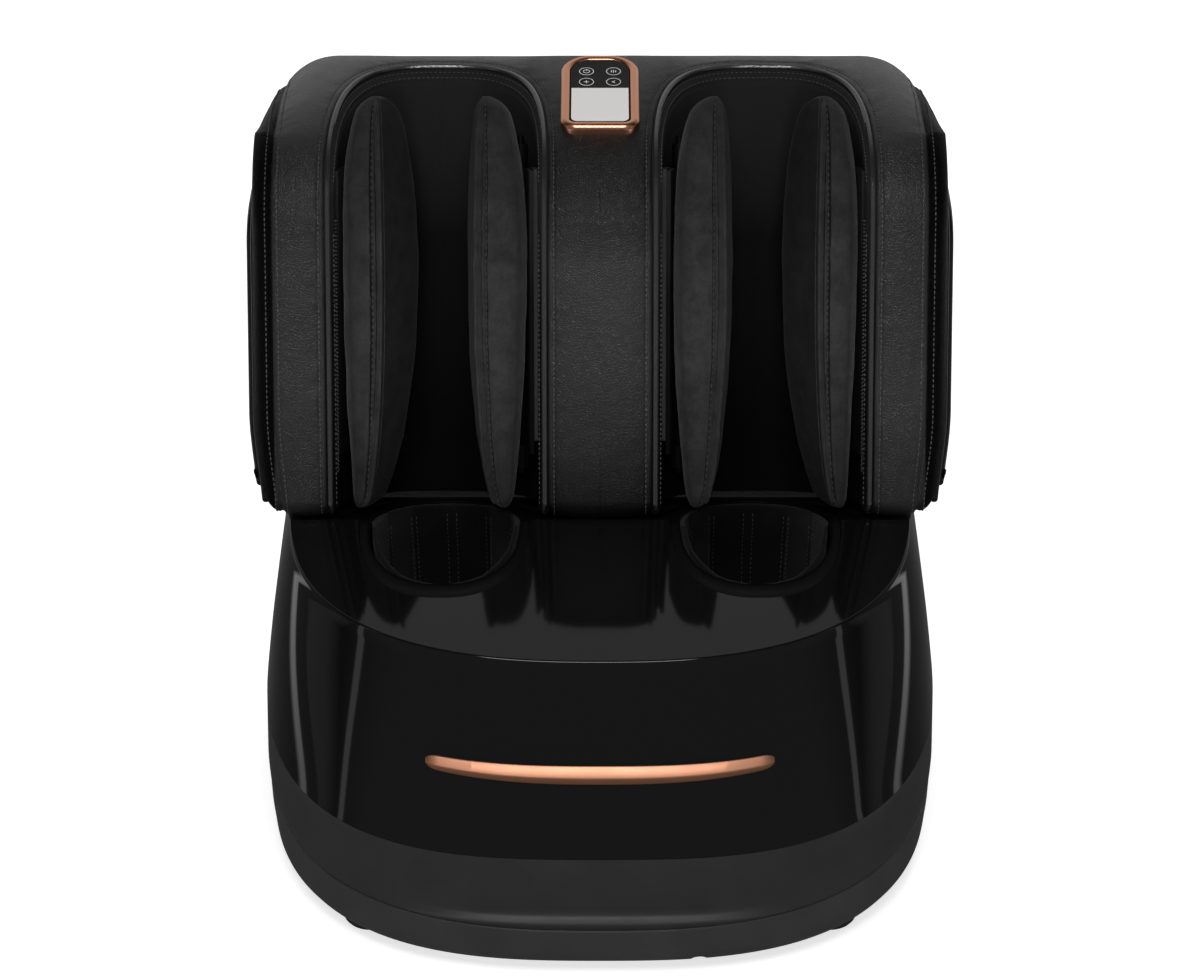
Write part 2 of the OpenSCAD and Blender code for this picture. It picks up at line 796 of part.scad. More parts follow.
// Side profile of the calf unit as [depth, height] points, moved inwards by an inset
function calf_profile(inset) = concat(
    arc([foot_fillet, foot_fillet], max(1, foot_fillet - inset), 180, 270, 3),
    arc(pivot, drum_r - inset, 270, 360, 6),
    arc([crest_d, calf_h - rear_roll_r], rear_roll_r - inset, 0, 90, 6),
    [for (a = [81, arc_a[1]]) arc_c2 + (arc_r[2] - inset) * [-cos(a), sin(a)]],
    [for (a = [66.5, 61, 55.5, arc_a[0]]) arc_c1 + (arc_r[1] - inset) * [-cos(a), sin(a)]],
    [for (a = [40, 30, 20, 10, 0]) arc_c0 + (arc_r[0] - inset) * [-cos(a), sin(a)]]
);

// Height of the calf unit's top surface at a depth in front of its crest
function roll_height(d) =
    d < arc_c0[0] - arc_r[0] * cos(arc_a[0]) ? arc_c0[1] + arc_r[0] * sin(acos(1 - d / arc_r[0]))
    : d < arc_c1[0] - arc_r[1] * cos(arc_a[1]) ? arc_c1[1] + arc_r[1] * sin(acos((arc_c1[0] - d) / arc_r[1]))
    : arc_c2[1] + arc_r[2] * sin(acos((arc_c2[0] - d) / arc_r[2]));

// How far a rounded edge of radius r has drawn in at x, a little less than r at the edge itself
function round_in(x, edge, r) =
    x <= edge - r ? 0 : min(0.88 * r, r - sqrt(max(0, r * r - pow(x - edge + r, 2))));

calf_hw = calf_w / 2;
shoulder_w = calf_h - shoulder_r;
// The core's shoulders are rounder, so that thicker foam lies over them
core_r = shoulder_r + 44;

function calf_station(x) =
    let (
        top = round_in(abs(x), calf_hw, shoulder_r),
        low = round_in(abs(x), calf_hw, hip_r),
        side = round_in(abs(x), calf_hw, edge_r)
    )
    [
        for (p = calf_profile(0))
            let (
                d = p[0] < crest_d ? lerp(side, crest_d, p[0] / crest_d)
                    : lerp(crest_d, calf_t - side, (p[0] - crest_d) / rear_roll_r),
                w = p[1] > shoulder_w ? lerp(shoulder_w, calf_h - top, (p[1] - shoulder_w) / shoulder_r)
                    : p[1] < hip_r ? lerp(low, hip_r, p[1] / hip_r) : p[1]
            )
            [x, d, w]
    ];

calf_steps = [for (f = [0, 0.02, 0.08, 0.17, 0.3, 0.5, 0.73, 1]) calf_hw - shoulder_r * f];

module calf_block() {
    xs = concat([for (x = calf_steps) -x], [for (i = [len(calf_steps) - 1 : -1 : 0]) calf_steps[i]]);
    skin([for (x = xs) calf_station(x)]);
}

function calf_front_outline(inset) = concat(
    arc([calf_hw - hip_r, hip_r], hip_r - inset, 270, 360, 5),
    arc([calf_hw - core_r, calf_h - core_r], core_r - inset, 0, 90, 8),
    arc([core_r - calf_hw, calf_h - core_r], core_r - inset, 90, 180, 8),
    arc([hip_r - calf_hw, hip_r], hip_r - inset, 180, 270, 5)
);

module calf_core(inset) {
    intersection() {
        prism_x(-calf_hw, calf_hw, calf_profile(inset));
        translate([0, calf_t + 10, 0]) rotate([90, 0, 0]) linear_extrude(height = calf_t + 20)
            polygon(calf_front_outline(inset));
    }
}

function well_outline(grow) = concat(
    [[well_w / 2 + grow, -40]],
    [
        for (i = [0 : 20])
            let (a = 9 * i)
                [(well_w / 2 + grow) * spow(cos(a), 2 / well_n), (well_d + grow) * spow(sin(a), 2 / well_n)]
    ],
    [[-well_w / 2 - grow, -40]]
);

module wells(grow) {
    both_sides() translate([well_x, 0, -50]) linear_extrude(height = calf_h + 100)
        polygon(well_outline(grow));
}

// Region of the calf unit between two depths and two heights, over its whole width
module calf_slab(d0, d1, w0, w1) {
    translate([-calf_hw - 10, d0, w0]) cube([calf_w + 20, d1 - d0, w1 - w0]);
}

module panel_frame() {
    at = arc_c1 + arc_r[1] * [-cos(panel_angle), sin(panel_angle)];
    translate([0, at[0], at[1]]) rotate([90 - panel_angle, 0, 0]) children();
}

module panel_pocket() {
    panel_frame() translate([0, 0, panel_base - fit]) linear_extrude(height = 40)
        polygon(round_rect(panel_w + 2 * fit, panel_l + 2 * fit, 12 + fit, 22 + fit));
}

module leather_cover() {
    color("#19191a") on_calf() difference() {
        calf_block();
        calf_slab(split_d, calf_t + 10, -10, calf_h + 10);
        calf_slab(split_bottom_d, calf_t + 10, -10, split_w);
        calf_core(leather_t);
        wells(liner_t + fit);
        panel_pocket();
    }
}

// Room that a tilt bracket needs inside the drum over the whole travel
module bracket_sweep() {
    width = bracket_w + 4;
    both_sides() translate([bracket_x - bracket_t / 2 - 2, pivot[0], pivot[1]]) {
        for (a = [0 : 5 : recline]) rotate([calf_lean + a, 0, 0]) translate([0, -width / 2, -100])
            cube([bracket_t + 4, width, 100]);
        rotate([0, 90, 0]) cylinder(h = bracket_t + 4, r = width / 2, $fn = 64);
    }
}

// The housing is five mouldings side by side: two arms, a middle and two backs behind the wells
housing_cuts = [-calf_hw - 10, -150, -77, 77, 150, calf_hw + 10];

module housing_block() {
    inner = leather_t + fit + housing_wall;
    difference() {
        calf_core(leather_t + fit);
        difference() {
            calf_core(inner);
            wells(liner_t + fit + housing_wall);
            for (x = [-bracket_x - 14, bracket_x - 22])
                translate([x, pivot[0] - 20, -10]) cube([6, 100, pivot[1] + 26]);
        }
        wells(liner_t + fit);
        translate([-rear_open_x, 150, split_w + 10])
            cube([2 * rear_open_x, 60, calf_h - split_w - 60]);
        panel_pocket();
        bracket_sweep();
        along_x(-bracket_x - 18, bracket_x + 18, pivot, pivot_r);
    }
}

module housing_part(i) {
    color("#303236") on_calf() intersection() {
        housing_block();
        translate([housing_cuts[i] + fit / 2, -20, -20])
            cube([housing_cuts[i + 1] - housing_cuts[i] - fit, calf_t + 40, calf_h + 40]);
    }
}

module housing_arm_left() {
    housing_part(0);
}

module housing_back_left() {
    housing_part(1);
}

module housing_middle() {
    housing_part(2);
}

module housing_back_right() {
    housing_part(3);
}

module housing_arm_right() {
    housing_part(4);
}

module calf_rear_cover() {
    color("#141416") on_calf() difference() {
        calf_block();
        calf_slab(-10, split_bottom_d + fit, -10, calf_h + 10);
        calf_slab(-10, split_d + fit, split_w - fit, calf_h + 10);
        calf_core(leather_t);
        wells(liner_t + fit);
        bracket_sweep();
        both_sides() for (i = [0 : 6]) translate([60, calf_t - 10, 130 + 14 * i]) cube([90, 20, 5]);
        both_sides() for (w = rear_screw_w) translate([rear_screw_x, calf_t - 2, w]) rotate([-90, 0, 0])
            cylinder(h = 5, r = 4.2, $fn = 32);
    }
}

module pivot_tube() {
    color("#b4b8bc") on_calf() difference() {
        along_x(-bracket_x - 18, bracket_x + 18, pivot, pivot_r);
        along_x(-bracket_x - 19, bracket_x + 19, pivot, pivot_r - 2);
    }
}

module friction_washers() {
    washer_t = 1.5;
    inner_x = bracket_x - bracket_t / 2 - fit - washer_t;
    color("#8a6f4a") on_calf() both_sides() for (x = [inner_x, bracket_x + bracket_t / 2 + fit])
        difference() {
            along_x(x, x + washer_t, pivot, 15);
            along_x(x - 1, x + 3, pivot, pivot_r);
        }
}

// ---------- Side covers ----------

side_x = calf_hw + fit;

side_t = 3.7;
side_top = 266;
plate_low = 22;

// Outline of a side piece: the profile moved in by an inset, with its own top and a rising lower edge
function side_ring(x, inset, top, low = 0) = [
    for (p = calf_profile(inset))
        let (
            d = p[0] < crest_d ? lerp(14, crest_d, p[0] / crest_d) : p[0],
            w = p[1] > 150 ? lerp(150, top, (p[1] - 150) / (calf_h - 150)) : p[1]
        )
        [x, d, low == 0 ? w : low + (w - inset) * (top - low) / (top - inset)]
];

module side_cover() {
    skin([
        side_ring(side_x, 6, side_top),
        side_ring(side_x + side_t - 1.5, 6, side_top),
        side_ring(side_x + side_t, 8, side_top - 2)
    ]);
}

module side_plate() {
    x0 = side_x + side_t + fit;
    skin([
        side_ring(x0, 16, side_top - 6, plate_low),
        side_ring(x0 + side_t - 2, 16, side_top - 6, plate_low),
        side_ring(x0 + side_t, 20, side_top - 11, plate_low + 5)
    ]);
}

module side_cover_left() {
    color("#0d0d0e") on_calf() mirror([1, 0, 0]) side_cover();
}

module side_cover_right() {
    color("#0d0d0e") on_calf() side_cover();
}

module side_plate_left() {
    color("#050506") on_calf() mirror([1, 0, 0]) side_plate();
}

module side_plate_right() {
    color("#050506") on_calf() side_plate();
}

// ---------- Leg wells ----------

liner_steps = [0, 0.3, 0.6, 0.85, 0.96, 1];

function liner_column(side, a, grow, s) =
    let (
        x = (well_w / 2 + grow) * spow(cos(a), 2 / well_n),
        d = (well_d + grow) * spow(sin(a), 2 / well_n)
    )
    [side * well_x + x, d, lerp(2, roll_height(d), s)];

function liner_ring(side, s) = concat(
    [for (i = [0 : 20]) liner_column(side, 9 * i, liner_t, s)],
    [for (i = [20 : -1 : 0]) liner_column(side, 9 * i, 0, s)]
);

module well_liner_left() {
    color("#262627") on_calf() sheet([for (s = liner_steps) liner_ring(-1, s)]);
}

module well_liner_right() {
    color("#262627") on_calf() sheet([for (s = liner_steps) liner_ring(1, s)]);
}

lug_w = [24, 96, 168, 240];
lug_h = 16;
rod_low = 20;
rod_high = 262;

// Places of the four pads: [side of the machine, side of the well]
pad_places = [[-1, -1], [-1, 1], [1, -1], [1, 1]];

module in_well(side) {
    translate([side * well_x, 0, 0]) children();
}

module pad_hinge_rods() {
    color("#6c7075") on_calf() for (p = pad_places) in_well(p[0]) scale_side(p[1]) {
        translate([pad_rod[0], pad_rod[1], rod_low])
            cylinder(h = rod_high - rod_low, r = pad_rod_r, $fn = 32);
        intersection() {
            for (w = lug_w) difference() {
                union() {
                    translate([pad_rod[0], pad_rod[1], w]) cylinder(h = lug_h, r = pad_rod_r + 3, $fn = 32);
                    translate([pad_rod[0] - 2, pad_rod[1], w]) cube([20, 9, lug_h]);
                }
                translate([pad_rod[0], pad_rod[1], w - 1]) cylinder(h = lug_h + 2, r = pad_rod_r, $fn = 32);
            }
            translate([0, 0, -50]) linear_extrude(height = calf_h + 100) polygon(well_outline(-fit));
        }
    }
}

module scale_side(s) {
    mirror([s < 0 ? 1 : 0, 0, 0]) children();
}

// Each kind of pad, as distances from the well's middle:
// [thickness, edge at the wall, lower tip, upper tip, tip of its carrier]
outer_pad = [outer_pad_t, 67, 57, 43, 66];
inner_pad = [inner_pad_t, 62, 46, 33, 62];
pad_kinds = [outer_pad, inner_pad, inner_pad, outer_pad];
carrier_tip_d = 16;

function carrier_span(kind) = [kind[4], carrier_tip_d] - pad_rod;

// Frame of a carrier: X from its rod to its front edge, Y towards the wall of the well
module on_carrier(k) {
    span = carrier_span(pad_kinds[k]);
    in_well(pad_places[k][0]) scale_side(pad_places[k][1]) translate([pad_rod[0], pad_rod[1], 0])
        rotate([0, 0, atan2(span[1], span[0])]) children();
}

module pad_carrier(k) {
    knuckles = [for (i = [0 : 2]) lug_w[i] + lug_h + 1];
    knuckle_h = lug_w[1] - lug_w[0] - lug_h - 2;
    reach = norm(carrier_span(pad_kinds[k]));
    plate_from = 7;
    on_carrier(k) difference() {
        union() {
            for (w = knuckles) translate([0, 0, w]) cylinder(h = knuckle_h, r = pad_rod_r + 3, $fn = 32);
            for (w = knuckles) translate([0, pad_rod_r, w]) cube([20, pad_plate_t, knuckle_h]);
            translate([plate_from, pad_rod_r, knuckles[0]])
                cube([reach - plate_from, pad_plate_t, knuckles[2] - knuckles[0] + knuckle_h]);
        }
        cylinder(h = calf_h, r = pad_rod_r + running, $fn = 32);
    }
}

module pad_carrier_left_outer() {
    color("#3c3f44") on_calf() pad_carrier(0);
}

module pad_carrier_left_inner() {
    color("#3c3f44") on_calf() pad_carrier(1);
}

module pad_carrier_right_inner() {
    color("#3c3f44") on_calf() pad_carrier(2);
}

module pad_carrier_right_outer() {
    color("#3c3f44") on_calf() pad_carrier(3);
}

// Leaf-shaped cushion: slim round tips, a crown towards the front and a drawn-in back
pad_tip_d = [26, 40];

// Share of a pad's full width at a share of its height: pointed below, blunter above
leaf_width = [
    [0, 0.04], [0.03, 0.24], [0.08, 0.44], [0.16, 0.65], [0.27, 0.82], [0.4, 0.94],
    [0.5, 0.98], [0.6, 1], [0.73, 0.96], [0.84, 0.84], [0.92, 0.63], [0.97, 0.38], [1, 0.06]
];

function pad_ring(s, kind) =
    let (
        f = lookup(s, leaf_width),
        tip = lerp(kind[2], kind[3], s),
        tip_d = lerp(pad_tip_d[0], pad_tip_d[1], s),
        far = lerp(tip, kind[1], f),
        near = lerp(tip, kind[1] - kind[0], f),
        front = lerp(tip_d, pad_front_d, f),
        back = lerp(tip_d, pad_back_d, f)
    )
    [
        for (i = [0 : 19])
            let (a = 18 * i, pinch = sin(a) > 0 ? 1 - 0.25 * sin(a) : 1)
                [
                    (far + near) / 2 + (far - near) / 2 * cos(a) * pinch,
                    (front + back) / 2 + (back - front) / 2 * spow(sin(a), 0.9),
                    1.5 + pad_h * s
                ]
    ];

pad_steps = [0.004, 0.03, 0.08, 0.16, 0.27, 0.4, 0.5, 0.6, 0.73, 0.84, 0.92, 0.97, 0.996];

module calf_pad(k) {
    difference() {
        in_well(pad_places[k][0]) scale_side(pad_places[k][1])
            skin([for (s = pad_steps) pad_ring(s, pad_kinds[k])]);
        on_carrier(k) {
            translate([-30, pad_rod_r - fit, -10]) cube([140, 90, calf_h]);
            cylinder(h = calf_h, r = pad_rod_r + 4, $fn = 32);
        }
    }
}

module calf_pad_left_outer() {
    color("#333334") on_calf() calf_pad(0);
}

module calf_pad_left_inner() {
    color("#333334") on_calf() calf_pad(1);
}

module calf_pad_right_inner() {
    color("#333334") on_calf() calf_pad(2);
}

module calf_pad_right_outer() {
    color("#333334") on_calf() calf_pad(3);
}

// Flat cells between each carrier and the wall of its well
module calf_air_cells() {
    color("#b9a98f") on_calf() for (k = [0 : 3]) intersection() {
        on_carrier(k) translate([14, pad_rod_r + pad_plate_t + fit, 50]) cube([42, 20, 190]);
        in_well(pad_places[k][0]) scale_side(pad_places[k][1]) translate([0, 0, 40])
            linear_extrude(height = 210) polygon(well_outline(-fit));
    }
}

// ---------- Control panel ----------

function panel_outline(inset) =
    round_rect(panel_w - 2 * inset, panel_l - 2 * inset, 12 - inset, 22 - inset);

module panel_bezel() {
    color("#c98463") on_calf() panel_frame() difference() {
        skin([
            at_height(panel_outline(0), panel_base),
            at_height(panel_outline(0), panel_top - 3),
            at_height(panel_outline(2.5), panel_top)
        ]);
        translate([0, 0, panel_base - 1]) linear_extrude(height = 30) polygon(panel_outline(panel_rim));
    }
}

module panel_glass() {
    color("#020203") on_calf() panel_frame() translate([0, 0, panel_top - 4]) linear_extrude(height = 3.2)
        polygon(panel_outline(panel_rim + fit));
}

module panel_board() {
    color("#2f6b3d") on_calf() panel_frame() translate([0, 0, panel_top - 4 - fit - 1.6])
        linear_extrude(height = 1.6) polygon(panel_outline(panel_rim + 1));
}

module calf_screws() {
    color("#a9adb2") on_calf() both_sides() for (w = rear_screw_w)
        translate([rear_screw_x, calf_t - 2 + fit, w]) rotate([-90, 0, 0]) cylinder(h = 1.4, r = 3.8, $fn = 32);
}

base_pan();
rubber_feet();
lower_skirt();
upper_shell();
front_trim_bar();
foot_collar_left();
foot_collar_right();
foot_boot_left();
foot_boot_right();
rear_service_panel();
power_inlet();
power_switch_frame();
power_switch_rocker();
roller_frame();
shaft_bushes();
roller_shaft_front();
roller_shaft_middle();
roller_shaft_rear();
gear_motor();
drive_belts();
air_pump();
valve_block();
base_air_hoses();
power_supply_board();
control_board();
tilt_bracket_left();
tilt_bracket_right();
base_screws();
housing_arm_left();
housing_back_left();
housing_middle();
housing_back_right();
housing_arm_right();
calf_rear_cover();
leather_cover();
pivot_tube();
friction_washers();
side_cover_left();
side_cover_right();
side_plate_left();
side_plate_right();
well_liner_left();
well_liner_right();
pad_hinge_rods();
pad_carrier_left_outer();
pad_carrier_left_inner();
pad_carrier_right_inner();
pad_carrier_right_outer();
calf_pad_left_outer();
calf_pad_left_inner();
calf_pad_right_inner();
calf_pad_right_outer();
calf_air_cells();
panel_bezel();
panel_glass();
panel_board();
calf_screws();
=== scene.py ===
# %% [markdown]
# # A foot and calf massager, dressed for rendering
# The machine has a low glossy base with two foot openings, and a leather calf unit with two leg wells
# that tilts on the base. The mechanical model fixes every place and size. This script only dresses it:
# each cell explains one piece or one finish, builds it, and prints what it made.

import json
import math
from types import SimpleNamespace

import bmesh
import bpy
import numpy as np
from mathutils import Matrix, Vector


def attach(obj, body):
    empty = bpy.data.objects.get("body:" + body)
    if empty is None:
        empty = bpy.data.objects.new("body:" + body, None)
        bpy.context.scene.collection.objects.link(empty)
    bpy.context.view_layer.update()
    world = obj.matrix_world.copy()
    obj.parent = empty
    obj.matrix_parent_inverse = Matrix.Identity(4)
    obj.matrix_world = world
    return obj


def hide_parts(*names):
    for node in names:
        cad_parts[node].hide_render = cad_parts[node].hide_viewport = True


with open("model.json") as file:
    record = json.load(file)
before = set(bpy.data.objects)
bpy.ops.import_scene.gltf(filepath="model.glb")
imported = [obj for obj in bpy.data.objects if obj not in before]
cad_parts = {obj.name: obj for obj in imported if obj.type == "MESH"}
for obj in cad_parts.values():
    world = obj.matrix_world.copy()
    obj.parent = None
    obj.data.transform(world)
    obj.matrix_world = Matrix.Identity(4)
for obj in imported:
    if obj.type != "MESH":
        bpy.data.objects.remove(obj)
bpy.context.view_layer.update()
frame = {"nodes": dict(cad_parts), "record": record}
nodes = frame["nodes"]

# %% [markdown]
# ## Two sets of coordinates
# The base is easiest to think of in plain millimetres: X across, Y back, Z up. The calf unit leans back
# by 22 degrees, so it gets its own coordinates: x across, d into its thickness and w up its front face.
# Two small functions turn either set into the metres of the frame, for one point or a whole grid.

# %% Coordinates of the base and of the calf unit
ORIGIN_Y = 20.3967
LEAN = math.radians(22)
CORNER = (2.5, 218.0)


def base_mm(p):
    p = np.asarray(p, float)
    return (p - np.array([0, ORIGIN_Y, 0])) / 1000


def calf_mm(p):
    p = np.asarray(p, float)
    x, d, w = p[..., 0], p[..., 1], p[..., 2]
    y = CORNER[0] + d * math.cos(LEAN) + w * math.sin(LEAN)
    z = CORNER[1] - d * math.sin(LEAN) + w * math.cos(LEAN)
    return base_mm(np.stack([x, y, z], -1))


print("front lower corner of the calf unit:", calf_mm([0, 0, 0]).round(4))

# %% [markdown]
# ## Helpers that turn grids of points into meshes
# Most pieces here are lofts: rows of points that follow a formula, joined by quads. One helper makes the
# mesh, another sweeps a round tube along a path, a third gives a skin its wall and a fourth cuts a piece
# with others by a Boolean. Edges sharper than an angle stay crisp, and the rest is shaded smooth.


# %% Mesh helpers
CUT_CRISP = 30


def finish_mesh(name, bm, crisp=35):
    bmesh.ops.remove_doubles(bm, verts=bm.verts, dist=1e-6)
    bmesh.ops.recalc_face_normals(bm, faces=bm.faces)
    for f in bm.faces:
        f.smooth = True
    for e in bm.edges:
        e.smooth = not (len(e.link_faces) == 2 and e.calc_face_angle(0) > math.radians(crisp))
    mesh = bpy.data.meshes.new(name)
    bm.to_mesh(mesh)
    bm.free()
    obj = bpy.data.objects.new(name, mesh)
    bpy.context.scene.collection.objects.link(obj)
    return obj


def add_grid(bm, grid, wrap_u=False, wrap_v=False):
    grid = np.asarray(grid, float)
    m, n = grid.shape[:2]
    vs = [[bm.verts.new(grid[j, i]) for i in range(n)] for j in range(m)]
    for j in range(m if wrap_v else m - 1):
        for i in range(n if wrap_u else n - 1):
            a, b = vs[j][i], vs[j][(i + 1) % n]
            c, d = vs[(j + 1) % m][(i + 1) % n], vs[(j + 1) % m][i]
            if len({a, b, c, d}) == 4:
                bm.faces.new((a, b, c, d))
    return vs


def loft(name, grid, crisp=35):
    bm = bmesh.new()
    vs = add_grid(bm, grid, wrap_u=True)
    bm.faces.new(vs[0])
    bm.faces.new(list(reversed(vs[-1])))
    return finish_mesh(name, bm, crisp)


def surface(name, grids, crisp, wrap=False):
    bm = bmesh.new()
    for grid in grids:
        add_grid(bm, grid, wrap_u=wrap, wrap_v=wrap)
    return finish_mesh(name, bm, crisp)


def turn_skin(obj, chosen, sign):
    if sign * sum(p.normal.y for p in obj.data.polygons if chosen(p.center)) < 0:
        obj.data.flip_normals()


def path_frames(path):
    path = np.asarray(path, float)
    ahead, behind = np.roll(path, -1, 0), np.roll(path, 1, 0)
    ahead[-1], behind[0] = path[-1], path[0]
    t = ahead - behind
    t /= np.linalg.norm(t, axis=1)[:, None]
    u = np.cross(t[0], [1, 0, 0] if abs(t[0][0]) < 0.8 else [0, 1, 0])
    us = []
    for k in range(len(path)):
        u = u - t[k] * (u @ t[k])
        u = u / np.linalg.norm(u)
        us.append(u)
    us = np.array(us)
    return t, us, np.cross(t, us)


def tube_grid(path, radius, sides=10):
    t, u, v = path_frames(path)
    r = np.broadcast_to(np.asarray(radius, float), (len(path),))[:, None, None]
    a = np.linspace(0, 2 * np.pi, sides, endpoint=False)
    return np.asarray(path)[:, None] + r * (
        u[:, None] * np.cos(a)[None, :, None] + v[:, None] * np.sin(a)[None, :, None]
    )


def tube(name, path, radius, sides=10):
    path = np.asarray(path)
    radius = np.full(len(path), radius)
    radius[[0, -1]] *= 0.55
    return loft(name, tube_grid(path, radius, sides))


def join_all(name, objs):
    bm = bmesh.new()
    for o in objs:
        bm.from_mesh(o.data)
        bpy.data.objects.remove(o)
    mesh = bpy.data.meshes.new(name)
    bm.to_mesh(mesh)
    bm.free()
    obj = bpy.data.objects.new(name, mesh)
    bpy.context.scene.collection.objects.link(obj)
    return obj


def evaluated(obj):
    dg = bpy.context.evaluated_depsgraph_get()
    mesh = bpy.data.meshes.new_from_object(obj.evaluated_get(dg))
    obj.modifiers.clear()
    obj.data = mesh


def thicken(obj, wall):
    solid = obj.modifiers.new("wall", "SOLIDIFY")
    solid.thickness, solid.offset = wall, -1
    evaluated(obj)


def cut(obj, cutters):
    for c in cutters:
        mod = obj.modifiers.new("cut", "BOOLEAN")
        mod.operation, mod.solver, mod.object = "DIFFERENCE", "EXACT", c
    evaluated(obj)
    for c in cutters:
        bpy.data.objects.remove(c)
    obj.data.set_sharp_from_angle(angle=math.radians(CUT_CRISP))


def prism(name, outline, low, high, place=base_mm, axis=2):
    outline = np.asarray(outline, float)
    rings = []
    for h in (low, high):
        ring = np.insert(outline, axis, h, axis=1)
        rings.append(place(ring))
    return loft(name, rings)


def circle(x, y, r, count=32):
    a = np.linspace(0, 2 * math.pi, count, endpoint=False)
    return np.stack([x + r * np.cos(a), y + r * np.sin(a)], 1)


def box_mm(name, low, high, place=base_mm):
    (x0, y0, z0), (x1, y1, z1) = low, high
    return prism(name, [(x0, y0), (x1, y0), (x1, y1), (x0, y1)], z0, z1, place)


def spow(v, p):
    return np.sign(v) * np.abs(v) ** p


def smooth(t):
    t = np.clip(t, 0, 1)
    return t * t * (3 - 2 * t)


def resample(path, count=None, step=None):
    path = np.asarray(path, float)
    s = np.concatenate([[0], np.cumsum(np.linalg.norm(np.diff(path, axis=0), axis=1))])
    count = count or max(2, int(round(s[-1] / step)) + 1)
    t = np.linspace(0, s[-1], count)
    return np.stack([np.interp(t, s, path[:, k]) for k in range(path.shape[1])], 1)


print("helpers ready")

# %% [markdown]
# ## Helpers for node trees
# Materials, the world and the stitch group all hold a node tree, so one helper adds a node to any of
# them. What it is given for a socket is linked if it is another node's output, and typed in if it is a
# number or a colour.

# %% Node helpers


def node(m, kind, inputs=None, **props):
    n = m.node_tree.nodes.new(kind)
    for key, value in props.items():
        setattr(n, key, value)
    for key, value in (inputs or {}).items():
        if isinstance(value, bpy.types.NodeSocket):
            m.node_tree.links.new(value, n.inputs[key])
        else:
            n.inputs[key].default_value = value
    return n


def calculate(m, operation, *values):
    return node(m, "ShaderNodeMath", dict(enumerate(values)), operation=operation).outputs[0]


def span(m, value, low, high, start=0.0, end=1.0):
    limits = {"From Min": start, "From Max": end, "To Min": low, "To Max": high}
    return node(m, "ShaderNodeMapRange", {"Value": value, **limits}).outputs[0]


def ramp(m, fac, stops):
    n = node(m, "ShaderNodeValToRGB", {"Fac": fac})
    e = n.color_ramp.elements
    while len(e) < len(stops):
        e.new(0.5)
    for k, (pos, value) in enumerate(stops):
        e[k].position = pos
        e[k].color = (*value, 1) if hasattr(value, "__len__") else (value, value, value, 1)
    return n.outputs["Color"]


def mix_shaders(m, fac, first, second):
    return node(m, "ShaderNodeMixShader", {0: fac, 1: first, 2: second}).outputs[0]


print("node helpers ready")

# %% [markdown]
# ## Camera and studio light
# The camera looks down at 30 degrees from the front through a long lens. The world is three things at
# once: plain white to the camera, a dim even light, and for glossy rays a room whose walls are graded,
# bright behind the machine and faint in front and at the sides. Soft lamps do most of the lighting.

# %% Camera and light
scene = bpy.context.scene
scene.view_settings.view_transform = "Standard"

DISTANCE = 2.2
ELEVATION = math.radians(30)
LENS_MM, FILM_MM = 94.95, 36
target = Vector((0, -0.0206, 0.240))
cam = bpy.data.objects.new("camera", bpy.data.cameras.new("camera"))
scene.collection.objects.link(cam)
cam.location = target + Vector((0, -DISTANCE * math.cos(ELEVATION), DISTANCE * math.sin(ELEVATION)))
cam.rotation_euler = (math.radians(90) - ELEVATION, 0, 0)
cam.data.lens = LENS_MM
cam.data.sensor_width = FILM_MM
scene.camera = cam

world = bpy.data.worlds.new("studio")
scene.world = world
world.use_nodes = True
world.node_tree.nodes.clear()


def backdrop(strength):
    given = {"Color": (1, 1, 1, 1), "Strength": strength}
    return node(world, "ShaderNodeBackground", given).outputs[0]


way = node(world, "ShaderNodeTexCoord").outputs["Generated"]
heading = node(world, "ShaderNodeSeparateXYZ", {0: way}).outputs
wall_behind = span(world, heading["Y"], 0.03, 0.62, start=0.1, end=0.75)
wall_ahead = span(world, heading["Y"], 0.0, 0.2, start=-0.2, end=-0.6)
wall_beside = span(world, calculate(world, "ABSOLUTE", heading["X"]), 0.0, 0.25, start=0.93, end=0.985)
walls = calculate(world, "MAXIMUM", wall_behind, wall_ahead)
room = calculate(world, "MAXIMUM", walls, wall_beside)
rays = node(world, "ShaderNodeLightPath").outputs
seen = calculate(world, "MAXIMUM", rays["Is Camera Ray"], rays["Is Transmission Ray"])
lit = mix_shaders(world, rays["Is Glossy Ray"], backdrop(0.11), backdrop(room))
shown = mix_shaders(world, seen, lit, backdrop(1.0))
node(world, "ShaderNodeOutputWorld", {0: shown})


def softbox(name, place, size, watts, aim=(0, 0, 0.25)):
    data = bpy.data.lights.new(name, "AREA")
    data.shape = "RECTANGLE"
    data.size, data.size_y = size
    data.energy = watts
    obj = bpy.data.objects.new(name, data)
    scene.collection.objects.link(obj)
    obj.location = place
    obj.rotation_euler = (Vector(aim) - Vector(place)).to_track_quat("-Z", "Y").to_euler()
    obj.visible_camera = False
    return obj


softbox("key_front", (-0.1, -1.5, 2.4), (1.2, 0.8), 25)
softbox("strip_left", (-1.9, -0.9, 1.1), (0.12, 2.2), 0.7)
softbox("strip_right", (1.9, -0.9, 1.1), (0.12, 2.2), 0.7)
near_front = softbox("near_front", (0.0, -1.2, 0.62), (0.62, 0.05), 0.24, aim=(0, 0, 0.34))
near_front.data.spread = math.radians(16)
rim_back = softbox("rim_back", (0.2, 1.6, 2.0), (1.8, 0.8), 24)
for lamp in (near_front, rim_back):
    lamp.visible_glossy = False
print("camera at", [round(v, 3) for v in cam.location])

# %% [markdown]
# ## Finishes
# Every finish is a small node tree on Object coordinates, so it looks the same from all sides. A plain
# number, such as roughness on a part that is even, sits on the shader's own socket. What varies over a
# real surface, such as grain, pile and polish, comes from noise, wave, brick and Voronoi textures.

# %% Material helpers


